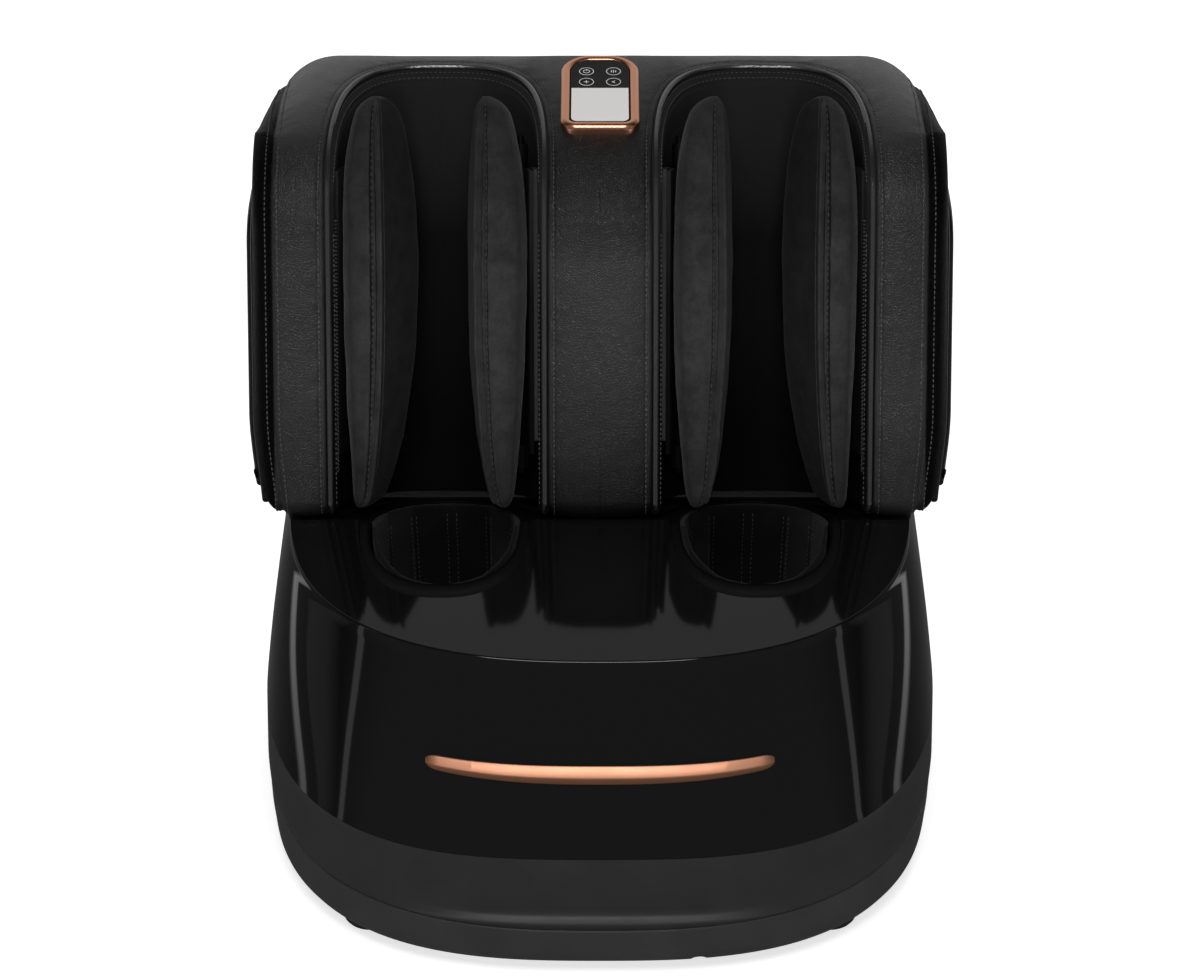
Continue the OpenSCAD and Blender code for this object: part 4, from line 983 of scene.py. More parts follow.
PI = math.pi
raw = np.vstack([
    [[PIVOT[0], 0.0]],
    arc_points((10, 10), 10, 1.5 * PI, PI, 12),
    arc_points(c0, ARC_R[0], PI, PI - ARC_A[0], 60),
    arc_points(c1, ARC_R[1], PI - ARC_A[0], PI - ARC_A[1], 60),
    arc_points(c2, ARC_R[2], PI - ARC_A[1], PI / 2, 30),
    arc_points((crest_d, CALF_H - rear_r), rear_r, PI / 2, 0, 60),
    arc_points(PIVOT, DRUM_R, 0, -PI / 2, 60),
])
keep = np.concatenate([[True], np.linalg.norm(np.diff(raw, axis=0), axis=1) > 1e-6])
raw = raw[keep]
lengths = np.concatenate([[0], np.cumsum(np.linalg.norm(np.diff(raw, axis=0), axis=1))])
TOTAL = lengths[-1]
fine_s = np.linspace(0, TOTAL, 4001)
fine = np.stack([np.interp(fine_s, lengths, raw[:, 0]), np.interp(fine_s, lengths, raw[:, 1])], 1)
crest_s = fine_s[np.argmax(fine[:, 1])]
face_part = (fine_s > 125) & (fine_s < crest_s)
FACE_S0 = np.interp(10.0, fine[face_part, 1], fine_s[face_part])
FACE_S1 = np.interp(face_w, fine[face_part, 1], fine_s[face_part])


def at_depth(d):
    shade_height = (fine_s >= FACE_S1) & (fine_s <= crest_s)
    return np.interp(d, fine[shade_height, 0], fine_s[shade_height])


SPLIT_S = at_depth(130.0)
print("profile length:", round(TOTAL), "split at", round(SPLIT_S))
print("face from", round(FACE_S0), "to", round(FACE_S1))

# %% [markdown]
# ### One surface for leather and rear cover
# A point of the outer skin is named by x and by its distance s along the profile. Near the two ends the
# profile is drawn in, which rounds the shoulders, the hips and the long edges. Puffs and grooves are
# added afterwards, along the surface's own normal.

# %% Skin of the calf unit


def hip_taper(w):
    return HIP_TAPER * smooth((70 - w) / 75)


def drawn_in(x, r):
    u = np.clip(x - (HW - r), 0, r)
    return np.minimum(0.88 * r, r - np.sqrt(np.maximum(0, r * r - u * u)))


def skin_point(x, s):
    x, s = np.broadcast_arrays(np.asarray(x, float), np.asarray(s, float))
    d, w = np.interp(s, fine_s, fine[:, 0]), np.interp(s, fine_s, fine[:, 1])
    ax = np.abs(x)
    top, low, side = drawn_in(ax, SHOULDER_R), drawn_in(ax, HIP_R), drawn_in(ax, EDGE_R)
    fore = side + (crest_d - side) * d / crest_d
    rear = crest_d + (CALF_T - side - crest_d) * (d - crest_d) / rear_r
    d2 = np.where(d < crest_d, fore, rear)
    shoulder_w = CALF_H - SHOULDER_R
    w2 = np.where(w > shoulder_w, shoulder_w + (SHOULDER_R - top) * (w - shoulder_w) / SHOULDER_R,
                  np.where(w < HIP_R, low + (HIP_R - low) * w / HIP_R, w))
    return np.stack([x - np.sign(x) * hip_taper(w2) * smooth((ax - 190) / 45), d2, w2], -1)


def skin_normal(x, s):
    e = 0.6
    du = skin_point(np.clip(x + e, -HW, HW), s) - skin_point(np.clip(x - e, -HW, HW), s)
    dv = skin_point(x, np.clip(s + e, 0, TOTAL)) - skin_point(x, np.clip(s - e, 0, TOTAL))
    n = np.cross(du, dv)
    n /= np.maximum(np.linalg.norm(n, axis=-1), 1e-9)[..., None]
    return n * np.where((n[..., 1] > 0) & (np.asarray(s) < crest_s) & (np.asarray(s) > 130), -1, 1)[..., None]


def skin(x, s, off=0.0):
    n = skin_normal(x, s)
    return skin_point(x, s) + n * np.asarray(off)[..., None]


on_face, on_crest = skin_normal(0.0, FACE_S0 + 80), skin_normal(0.0, crest_s)
print("outward normal on the face:", on_face.round(2), "at the crest:", on_crest.round(2))

# %% [markdown]
# ### Leg wells
# Seen along the leg, a well is a superellipse cut into the front of the calf unit. Its rim is where that
# outline meets the outer skin: straight up the front face, then an arch over the top. The rim is named
# in the same x and s as the skin, so the leather, the piping and the lining can all start from it.

# %% Rims of the wells
WELL_X, WELL_HW, WELL_D, WELL_P = 113.5, 75.5, 112.0, 2 / 2.8
S_LOW = 98.0


def rim_arch(a):
    x = WELL_X + WELL_HW * spow(np.cos(a), WELL_P)
    return np.stack([x, at_depth(WELL_D * spow(np.sin(a), WELL_P))], 1)


corner_in, corner_out = 0.70 * PI, 0.30 * PI
face_top = 300.0
column_side, arm_side = WELL_X - WELL_HW, WELL_X + WELL_HW
dense = np.linspace(0, 1, 400) ** 2
arch_in = rim_arch(PI - (PI - corner_in) * dense)
arch_top = rim_arch(np.linspace(corner_in, corner_out, 400))
arch_out = rim_arch(corner_out * dense[::-1])
leg_up = np.array([[column_side, S_LOW], [column_side, face_top]])
leg_down = np.array([[arm_side, face_top], [arm_side, S_LOW]])
sections = [
    (leg_up, [[0, S_LOW], [0, face_top]], 130),
    (np.vstack([leg_up[-1:], arch_in]), [[0, face_top], [0, SPLIT_S]], 110),
    (arch_top, [[0, SPLIT_S], [HW, SPLIT_S]], 130),
    (np.vstack([arch_out, leg_down[:1]]), [[HW, SPLIT_S], [HW, face_top]], 110),
    (leg_down, [[HW, face_top], [HW, S_LOW]], 130),
]
rim_rows, outer_rows = [], []
for k, (rim, outer, count) in enumerate(sections):
    a, b = resample(rim, count + 1), resample(outer, count + 1)
    rim_rows.append(a if k == 0 else a[1:])
    outer_rows.append(b if k == 0 else b[1:])
rim_path, outer_path = np.vstack(rim_rows), np.vstack(outer_rows)
print("rim points:", len(rim_path), "highest s on the rim:", round(rim_path[:, 1].max()))

# %% [markdown]
# ### Leather cover
# Half of the cover is one grid of quads between a well's rim and the outline of the cover. Its height
# above the skin is a sum of small terms: a crown where the foam pushes up, a roll down at the rim, the
# valleys of the seams, and puckers that fade away from each seam. The other half has the same outline
# mirrored, and puckers of its own.

# %% Leather cover
ACROSS = 44
SEAM_X = 227.5
COVER_WALL = 0.0028
LEATHER_SEED = {1: 1, -1: 31}


def near(dist, width):
    return np.exp(-((dist / width) ** 2))


def rim_distance(x, s):
    q = np.stack([np.abs(x).ravel(), s.ravel()], 1)
    r = resample(rim_path, 700)
    nearest = [np.sqrt(((part[:, None] - r[None]) ** 2).sum(-1)).min(1) for part in np.array_split(q, 60)]
    return np.concatenate(nearest).reshape(x.shape)


def rough(u, v, seed=0):
    rng = np.random.default_rng(seed)
    total = np.zeros_like(u)
    for k in range(9):
        w = rng.uniform(0.5, 2.2, 2) * (0.6 + 0.35 * k)
        total += np.sin(u * w[0] + v * w[1] * rng.choice([-1, 1]) + rng.uniform(0, 6.28)) / (1 + 0.45 * k)
    return total / 4


def leather_height(x, s, seed=1):
    dr = rim_distance(x, s)
    ax = np.abs(x)
    seam = ax - SEAM_X
    crown = 2.4 * (1 - np.exp(-((dr / 11) ** 2))) * (1 - 0.75 * near(seam, 14))
    crown += 1.2 * near(ax, 26) * (s < 330)
    roll = -3.4 * np.clip(1 - dr / 4.2, 0, 1) ** 2
    valleys = -0.7 * near(dr - 6.0, 0.9) - 1.9 * near(seam, 1.5) - 0.6 * near(seam + 4.2, 0.8)
    gusset = 1.0 * near(seam - 6, 4)
    wave = rough(s / 4.2, ax / 9, seed)
    pucker = 0.42 * wave * near(dr - 8, 6) + 0.38 * rough(s / 5, ax / 12, seed + 3) * near(seam + 6, 7)
    bend = 0.5 * rough(x / 15, s / 5, seed + 5) * near(s - 345, 26) * near(ax, 34)
    soft = 0.55 * rough(x / 32, s / 28, seed + 7) * np.clip(dr / 20, 0, 1)
    return crown + roll + valleys + gusset + pucker + bend + soft


v = np.linspace(0, 1, ACROSS + 1)
v = 0.35 * v + 0.65 * (1 - np.cos(PI * v)) / 2
halves = []
for side in (1, -1):
    px = side * (rim_path[:, None, 0] + (outer_path - rim_path)[:, None, 0] * v[None])
    ps = rim_path[:, None, 1] + (outer_path - rim_path)[:, None, 1] * v[None]
    halves.append(calf_mm(skin(px, ps, leather_height(px, ps, LEATHER_SEED[side]))))
centre_blend = (halves[0][:, -1] + halves[1][:, -1]) / 2
straight = outer_path[:, 0] < 1e-6
for h in halves:
    h[straight, -1, 1:] = centre_blend[straight, 1:]
    h[straight, -1, 0] = 0
cover = surface("leather_cover_soft", halves, 60)
turn_skin(cover, lambda at: abs(at.x) < 0.03 and at.z < 0.35, -1)
thicken(cover, COVER_WALL)
dress(cover, leather, "calf_unit", "leather", "leather_cover")

# %% [markdown]
# ### Piping
# A cord in thin leather is sewn round each rim. It is a tube swept along the rim, sunk a little into the
# seam between the leather and the lining.

# %% Piping
cords = []
for side in (-1, 1):
    path = resample(rim_path, step=2.2)
    pts = skin(side * path[:, 0], path[:, 1], -1.3)
    inward = np.sign(WELL_X - path[:, 0])
    pts[:, 0] += side * inward * 0.6
    cords.append(tube("cord", calf_mm(pts), 0.0021, 10))
piping = join_all("rim_piping", cords)
dress(piping, piping_skin, "calf_unit", "leather")

# %% [markdown]
# ### Rear cover
# The back and the underside are one hard moulding on the same skin. It gets its thickness from Solidify,
# and Booleans cut the wells, the slots that let the brackets in, the vents and the screw recesses.

# %% Rear cover
REAR_COVER_WALL = 0.003
WELL_CLEARANCE = 3
BRACKET_X, BRACKET_T, BRACKET_W = 205.0, 5.0, 34.0
BRACKET_CLEARANCE = 2
xs = HW * np.sin(np.linspace(-PI / 2, PI / 2, 121))
back_s = np.linspace(SPLIT_S + 0.4, TOTAL - 0.01, 130)
under_s = np.linspace(0.01, S_LOW - 0.4, 20)
bm = bmesh.new()
for part_s in (back_s, under_s):
    gx, gs = np.meshgrid(xs, part_s)
    add_grid(bm, calf_mm(skin(gx, gs, -0.2)))
bmesh.ops.remove_doubles(bm, verts=bm.verts, dist=2e-5)
rear_cover = finish_mesh("rear_cover_matte", bm, 40)
turn_skin(rear_cover, lambda at: at.y > 0.2, 1)
thicken(rear_cover, REAR_COVER_WALL)
cutters = []
for side in (-1, 1):
    a = np.linspace(0, PI, 120)
    half_x, deep = WELL_HW + WELL_CLEARANCE, WELL_D + WELL_CLEARANCE
    ring = np.stack([side * WELL_X + half_x * spow(np.cos(a), WELL_P), deep * spow(np.sin(a), WELL_P)], 1)
    ring = np.vstack([ring, [[side * WELL_X - half_x, -40], [side * WELL_X + half_x, -40]]])
    cutters.append(prism("cut_well", ring, -30, 60, calf_mm))
    for i in range(7):
        low, high = (side * 105 - 45, CALF_T - 12, 130 + 14 * i), (side * 105 + 45, CALF_T + 10, 135 + 14 * i)
        cutters.append(box_mm("cut_vent", low, high, calf_mm))
    for w in (100, 250):
        screw = circle(side * 200, w, 4.2)
        cutters.append(prism("cut_screw", screw, CALF_T - 2, CALF_T + 4, calf_mm, axis=1))
    half = BRACKET_T / 2 + BRACKET_CLEARANCE
    reach = BRACKET_W / 2 + BRACKET_CLEARANCE
    corners = ((-reach, -100), (reach, -100), (reach, 0), (-reach, 0))
    for tilt in (0, 10, 20):
        t = LEAN + math.radians(tilt)
        axis_u = np.array([math.cos(t), math.sin(t)])
        axis_v = np.array([-math.sin(t), math.cos(t)])
        rect = [np.array(PIVOT) + axis_u * i + axis_v * j for i, j in corners]
        x = side * BRACKET_X
        cutters.append(prism("cut_bracket", rect, x - half, x + half, calf_mm, axis=0))
cut(rear_cover, cutters)
dress(rear_cover, matte, "calf_unit", "shell_matte", "calf_rear_cover")

# %% [markdown]
# ### Side covers
# Each side of the calf unit is closed by a glossy cover with a raised plate on it. Both follow the side
# profile drawn inwards, and their edges are rounded so that they carry a long highlight.

# %% Side covers and plates
loop = np.vstack([raw, raw[:1]])
loop = resample(loop, step=2.5)[:-1]


def side_profile(inset):
    nxt, prv = np.roll(loop, -1, 0), np.roll(loop, 1, 0)
    t = nxt - prv
    t /= np.linalg.norm(t, axis=1)[:, None]
    n = np.stack([-t[:, 1], t[:, 0]], 1)
    return loop + n * inset * SIDE_SIGN


area = 0.5 * np.sum(loop[:, 0] * np.roll(loop[:, 1], -1) - np.roll(loop[:, 0], -1) * loop[:, 1])
SIDE_SIGN = 1.0 if area > 0 else -1.0


def side_ring(x, inset, top, low=0.0):
    p = side_profile(inset)
    d = np.where(p[:, 0] < crest_d, 14 + (crest_d - 14) * p[:, 0] / crest_d, p[:, 0])
    w = np.where(p[:, 1] > 150, 150 + (top - 150) * (p[:, 1] - 150) / (CALF_H - 150), p[:, 1])
    if low:
        w = low + (w - inset) * (top - low) / (top - inset)
    return np.stack([x - np.sign(x) * (hip_taper(w) + 5 * smooth((w - 222) / 44)), d, w], 1)


cover_rings = [(240.3, 6, 266, 0), (242.4, 6, 266, 0), (243.1, 6.3, 265.7, 0), (243.6, 6.9, 265.1, 0),
               (243.9, 7.6, 264.4, 0), (244, 8.4, 263.6, 0)]
plate_rings = [(244.3, 16, 260, 22), (245.6, 16, 260, 22), (246.6, 16.5, 259.4, 22.8),
               (247.3, 17.6, 258, 24.2), (247.8, 19.2, 256, 26), (248, 21.5, 253.6, 28.6)]
for side, name in SIDES:
    for label, table in (("side_cover_", cover_rings), ("side_plate_", plate_rings)):
        rows = [calf_mm(side_ring(side * x, inset, top, low)) for x, inset, top, low in table]
        part = loft(label + name + "_gloss", rows, crisp=40)
        dress(part, gloss, "calf_unit", "shell_gloss", label + name)

# %% [markdown]
# ### Velour lining of the wells
# The lining follows the well's outline from bottom to rim. Near the rim it swells into a soft roll, which
# is the band that shows inside the piping. A seam runs down the middle of the back, and a zip runs down
# the outer wall of each well just behind the roll.

# %% Well linings


def skin_height(d):
    first = np.argmax(fine_s > FACE_S1)
    last = np.argmax(fine_s >= crest_s)
    return np.interp(d, fine[first:last, 0], fine[first:last, 1])


def well_outline(count):
    a = PI - np.linspace(0, PI, 4000)
    ring = np.stack([WELL_HW * spow(np.cos(a), WELL_P), WELL_D * spow(np.sin(a), WELL_P)], 1)
    return resample(ring, count)


LINING, LINING_WALL = 300, 0.002
well = well_outline(LINING)
well_n = np.roll(well, -1, 0) - np.roll(well, 1, 0)
well_n[0], well_n[-1] = well[1] - well[0], well[-1] - well[-2]
well_n = np.stack([well_n[:, 1], -well_n[:, 0]], 1)
well_n /= np.linalg.norm(well_n, axis=1)[:, None]
well_s = np.concatenate([[0], np.cumsum(np.linalg.norm(np.diff(well, axis=0), axis=1))])
WELL_LEN = well_s[-1]


def lining_point(q, w_frac=None, w=None, side=1, lift=0.0):
    q = np.asarray(q, float)
    x, d = np.interp(q, well_s, well[:, 0]), np.interp(q, well_s, well[:, 1])
    nx, nd = np.interp(q, well_s, well_n[:, 0]), np.interp(q, well_s, well_n[:, 1])
    top = skin_height(d) - 1.0
    w = 2 + (top - 2) * w_frac if w is None else w
    edge = np.minimum(np.minimum(q, WELL_LEN - q), (top - w) * 0.8)
    roll = 5.2 * smooth(edge / 9) - 2.2 * smooth((edge - 12) / 26)
    seams = -0.9 * near(edge - 8.6, 0.8) - 0.8 * near(q - WELL_LEN / 2, 1.0)
    slack = 0.7 * rough(q / 14, w / 22, 11) * smooth((edge - 10) / 20)
    puff = roll + seams + slack + lift
    deep = np.maximum(d, 0) + nd * puff * smooth(d / 8)
    return np.stack([side * (WELL_X + (x + nx * puff)), deep, w], -1)


for side, name in SIDES:
    eased = WELL_LEN * (1 - np.cos(PI * np.linspace(0, 1, LINING))) / 2
    q = eased * 0.5 + np.linspace(0, WELL_LEN, LINING) * 0.5
    f = 1 - (1 - np.linspace(0, 1, 150)) ** 1.35
    gq, gf = np.meshgrid(q, f)
    lining = surface("well_lining_" + name, [calf_mm(lining_point(gq, gf, side=side))], 50)
    turn_skin(lining, lambda at: abs(abs(at.x) * 1000 - WELL_X) < 20, -1)
    thicken(lining, LINING_WALL)
    dress(lining, lining_velour, "calf_unit", "velour", "well_liner_" + name)

# %% [markdown]
# ### Pads
# Four leaf-shaped cushions hug the legs. Each is a stack of closed rings with blunt, rounded ends.
# A raised edge with a thin welt runs down its front between two grooves, and a stitched seam beside it.
# The fabric puckers softly near both. The side towards the wall is flat, on the cushion's carrier.

# %% Pads
PADS = {"outer": (52.0, 67.0, 57.0, 43.0, 66.0), "inner": (43.0, 62.0, 46.0, 33.0, 62.0)}


def lerp(a, b, t):
    return a + (b - a) * t


leaf_s = np.linspace(0, 1, 401)
leaf = np.interp(leaf_s, [0, 0.03, 0.08, 0.16, 0.27, 0.4, 0.5, 0.6, 0.73, 0.84, 0.92, 0.97, 1],
                 [0.34, 0.43, 0.56, 0.71, 0.84, 0.95, 0.98, 1, 0.97, 0.87, 0.72, 0.56, 0.45])
soft_window = np.hanning(31) / np.hanning(31).sum()
leaf = np.convolve(np.pad(leaf, 15, mode="reflect", reflect_type="odd"), soft_window, mode="valid")
KEEL_U = {"outer": -0.08, "inner": -0.6}
STITCH_ANGLE = {"outer": -81, "inner": -107}
SEAMS = {kind: (math.radians(STITCH_ANGLE[kind]), math.atan2(-1, KEEL_U[kind])) for kind in PADS}
PAD_LENGTH, PAD_GIRTH, PAD_SEED = 289, 27, 40


def leaf_width(s):
    low, high = np.clip(s / 0.035, 0, 1), np.clip((1 - s) / 0.045, 0, 1)
    cap = np.sqrt(1 - (1 - low) ** 2) * np.sqrt(1 - (1 - high) ** 2)
    return np.clip(np.interp(s, leaf_s, leaf) * cap, 0.02, 1)


def section_of(kind):
    k = KEEL_U[kind]
    corners = [(k, -1), (0.4, -0.99), (0.78, -0.84), (1, -0.45), (1, 0.3), (0.8, 0.85), (0.2, 1),
               (-0.6, 0.97), (-0.95, 0.75), (-1, 0.5), (k, -1)]
    line = resample(corners, 2000)
    angle = np.unwrap(np.arctan2(line[:, 1], line[:, 0]))
    grid = np.linspace(angle[0], angle[0] + 2 * PI, 721)
    sharp = np.interp(grid, angle, np.hypot(line[:, 0], line[:, 1]))
    window = np.hanning(51) / np.hanning(51).sum()
    soft = np.convolve(np.pad(sharp[:-1], 25, mode="wrap"), window, mode="valid")
    soft = np.append(soft, soft[0])
    turn = np.minimum(grid - grid[0], grid[-1] - grid)
    return grid, soft + (sharp - soft) * near(turn, math.radians(16))


SECTIONS = {kind: section_of(kind) for kind in PADS}


def pad_point(kind, s, a, off=0.0):
    t, edge, low_tip, high_tip, carrier_tip = PADS[kind]
    s, a = np.broadcast_arrays(np.asarray(s, float), np.asarray(a, float))
    grid, radius = SECTIONS[kind]
    r = np.interp(grid[0] + (a - grid[0]) % (2 * PI), grid, radius)
    f = leaf_width(s)
    tip, tip_d = lerp(low_tip, high_tip, s), lerp(26, 40, s)
    far, close = lerp(tip, edge, f), lerp(tip, edge - t, f)
    fore, back = lerp(tip_d, 10, f), lerp(tip_d, 74, f)
    hx, hd = (far - close) / 2, (back - fore) / 2
    x = (far + close) / 2 + (hx + off) * r * np.cos(a)
    d = (fore + back) / 2 + (hd + off) * r * np.sin(a)
    rod, edge_tip = (57.0, 76.0), (carrier_tip, 16.0)
    limit = rod[0] + (d - rod[1]) * (edge_tip[0] - rod[0]) / (edge_tip[1] - rod[1]) + 2.2
    return np.stack([np.minimum(x, limit), d, 1.5 + PAD_LENGTH * s], -1)


def wrapped(angle):
    return (angle + PI) % (2 * PI) - PI


def pad_height(kind, s, a, seed):
    f = leaf_width(s)
    stitched, keel = SEAMS[kind]
    da, db = wrapped(a - stitched) * PAD_GIRTH * f, wrapped(a - keel) * PAD_GIRTH * f
    edge = 1.2 * near(db, 3.0) - 1.6 * near(db - 2.6, 0.9) - 1.6 * near(db + 2.6, 0.9)
    seam = -1.7 * near(da, 1.0) + 0.45 * near(da - 2.6, 1.6) + 0.45 * near(da + 2.6, 1.6)
    pucker = 0.6 * rough(s * PAD_LENGTH / 7, a * 3, seed) * (near(db, 8) + 0.8 * near(da, 6))
    soft = 1.1 * rough(s * PAD_LENGTH / 30, a * 1.4, seed + 2)
    return (edge + seam + pucker + soft) * np.clip(f * 1.4, 0, 1)


pad_list = [
    ("left", "outer", -1, -1),
    ("left", "inner", -1, 1),
    ("right", "inner", 1, -1),
    ("right", "outer", 1, 1),
]


def sewn_line(index, kind, s, angle, off):
    a = np.full_like(s, angle)
    return pad_point(kind, s, a, pad_height(kind, s, a, PAD_SEED + 7 * index) + off)


for index, (side_name, kind, side, inn) in enumerate(pad_list):
    ss = (1 - np.cos(PI * np.linspace(0.004, 0.996, 190))) / 2
    ss = (ss - ss[0]) / (ss[-1] - ss[0]) * 0.998 + 0.001
    keel = SEAMS[kind][1]
    aa = keel + PI * (1 + np.sin(PI * (np.linspace(0, 1, 200, endpoint=False) - 0.5)))
    ga, gs = np.meshgrid(aa, ss)
    pts = pad_point(kind, gs, ga, pad_height(kind, gs, ga, PAD_SEED + 7 * index))
    welt = sewn_line(index, kind, np.linspace(0.014, 0.986, 420), keel, 0.5)
    for line in (pts, welt):
        line[..., 0] = side * WELL_X + inn * line[..., 0]
    cushion = loft("cushion", calf_mm(pts), crisp=50)
    label = side_name + "_" + kind
    pad = join_all("calf_pad_cushion_" + label, [cushion, tube("welt", calf_mm(welt), 0.0013, 8)])
    dress(pad, velour, "pad_" + label, "velour", "calf_pad_" + label)
    # The faces turned towards the leg take the darker velour copy, as painted shade.
    pad.data.materials.append(dark_velour)
    for face in pad.data.polygons:
        if face.normal.x * inn < -0.6:
            face.material_index = 1

# %% [markdown]
# ### Control panel
# The bezel is a rounded frame with a broad bevel. The glass sits inside it: black at the top, where four
# ringed symbols are printed, and satin silver below.

# %% Panel bezel and glass
panel_a = math.radians(60)
PANEL_HW, PANEL_HL = 28, 49.5
GLASS_Z, INK_Z = 4.2, 4.26
panel_at = c1 + ARC_R[1] * np.array([-math.cos(panel_a), math.sin(panel_a)])
panel_turn = PI / 2 - panel_a


def panel_mm(p):
    p = np.asarray(p, float)
    x, y, z = p[..., 0], p[..., 1], p[..., 2]
    d = panel_at[0] + y * math.cos(panel_turn) - z * math.sin(panel_turn)
    w = panel_at[1] + y * math.sin(panel_turn) + z * math.cos(panel_turn)
    return calf_mm(np.stack([x, d, w], -1))


def panel_ring(inset, z, count=24):
    hw, hl = PANEL_HW - inset, PANEL_HL - inset
    r_low, r_high = max(12 - inset, 0.5), max(22 - inset, 0.5)
    pts = []
    for cx, cy, r, a0 in ((hw - r_high, hl - r_high, r_high, 0), (-hw + r_high, hl - r_high, r_high, 90),
                          (-hw + r_low, -hl + r_low, r_low, 180), (hw - r_low, -hl + r_low, r_low, 270)):
        for a in np.radians(np.linspace(a0, a0 + 90, count)):
            pts.append((cx + r * math.cos(a), cy + r * math.sin(a), z))
    return panel_mm(np.array(pts))


BEZEL_SECTION = ((0, -8), (0, 1.6), (0.25, 2.5), (0.9, 3.6), (2.3, 4.7), (3.0, 5.0), (4.6, 5.0), (5.4, 4.8),
                 (6.3, 4.3), (7.0, 3.4), (7.0, -8))
bezel_rows = [panel_ring(inset, z) for inset, z in BEZEL_SECTION]
bezel = surface("panel_bezel_rose", [bezel_rows], 40, wrap=True)
dress(bezel, rose, "calf_unit", "rose_gold", "panel_bezel")

glass_rows = [panel_ring(7.3, 1.0), panel_ring(7.3, 3.9), panel_ring(7.6, GLASS_Z)]
glass = loft("panel_glass_black", glass_rows, crisp=30)
dress(glass, black_glass, "calf_unit", "black_glass", "panel_glass")


def ring_mark(cx, cy, r0, r1, count=48):
    inner, outer = circle(cx, cy, r0, count), circle(cx, cy, r1, count)
    loops = ((inner, GLASS_Z), (inner, INK_Z), (outer, INK_Z), (outer, GLASS_Z))
    rows = [panel_mm(np.insert(line, 2, z, axis=1)) for line, z in loops]
    return surface("ring", [rows], 30, wrap=True)


def bar_mark(cx, cy, w, h, turn=0.0):
    c, s = math.cos(turn), math.sin(turn)
    corners = [(i * w / 2, j * h / 2) for i, j in ((-1, -1), (1, -1), (1, 1), (-1, 1))]
    turned = [(cx + u * c - v * s, cy + u * s + v * c) for u, v in corners]
    return prism("bar", turned, GLASS_Z, INK_Z, panel_mm)


ICON_X, ICON_Y = 9.6, (26.0, 11.5)
marks = []
for x in (-ICON_X, ICON_X):
    for y in ICON_Y:
        marks.append(ring_mark(x, y, 4.7, 5.3))
marks += [ring_mark(-ICON_X, ICON_Y[0], 1.9, 2.5), bar_mark(-ICON_X, ICON_Y[0] + 2, 0.7, 2.6)]
marks += [bar_mark(ICON_X + k * 1.5, ICON_Y[0], 0.7, 3.6 - abs(k)) for k in (-1, 0, 1)]
marks += [bar_mark(-ICON_X, ICON_Y[1], 3.8, 0.7), bar_mark(-ICON_X, ICON_Y[1], 0.7, 3.8)]
marks += [bar_mark(ICON_X, ICON_Y[1] + 0.4, 3.0, 0.7, 0.8), bar_mark(ICON_X, ICON_Y[1] - 0.4, 3.0, 0.7, -0.8)]
icons = join_all("panel_symbols", marks)
dress(icons, white_print, "calf_unit", "black_glass")

FIELD_INSET, CORNER_R, FIELD_TOP = 7.9, 4.4, 3.0
half = PANEL_HW - FIELD_INSET
middle = half - CORNER_R
low = []
for cx, start in ((-middle, 180), (middle, 270)):
    for a in np.radians(range(start, start + 91, 9)):
        low.append((cx + CORNER_R * math.cos(a), FIELD_INSET - PANEL_HL + CORNER_R + CORNER_R * math.sin(a)))
low += [(half, FIELD_TOP), (-half, FIELD_TOP)]
plate = prism("panel_silver_field", low, GLASS_Z, 4.24, panel_mm)
dress(plate, silver_print, "calf_unit", "black_glass")

# %% [markdown]
# ## Stitches and zip teeth by Geometry Nodes
# A stitch is a tiny stretched bead. One node group turns any set of edges into a sewn row: it resamples
# them at the stitch spacing, sets a bead on each point, turns it along the row, varies its length with a
# fixed seed, realises the instances and gives them their finish. The same group makes the zip's teeth.

# %% The stitch group
STITCH_DEFAULTS = {"Spacing": 0.0035, "Length": 0.0026, "Thickness": 0.0008, "Variation": 0.12}


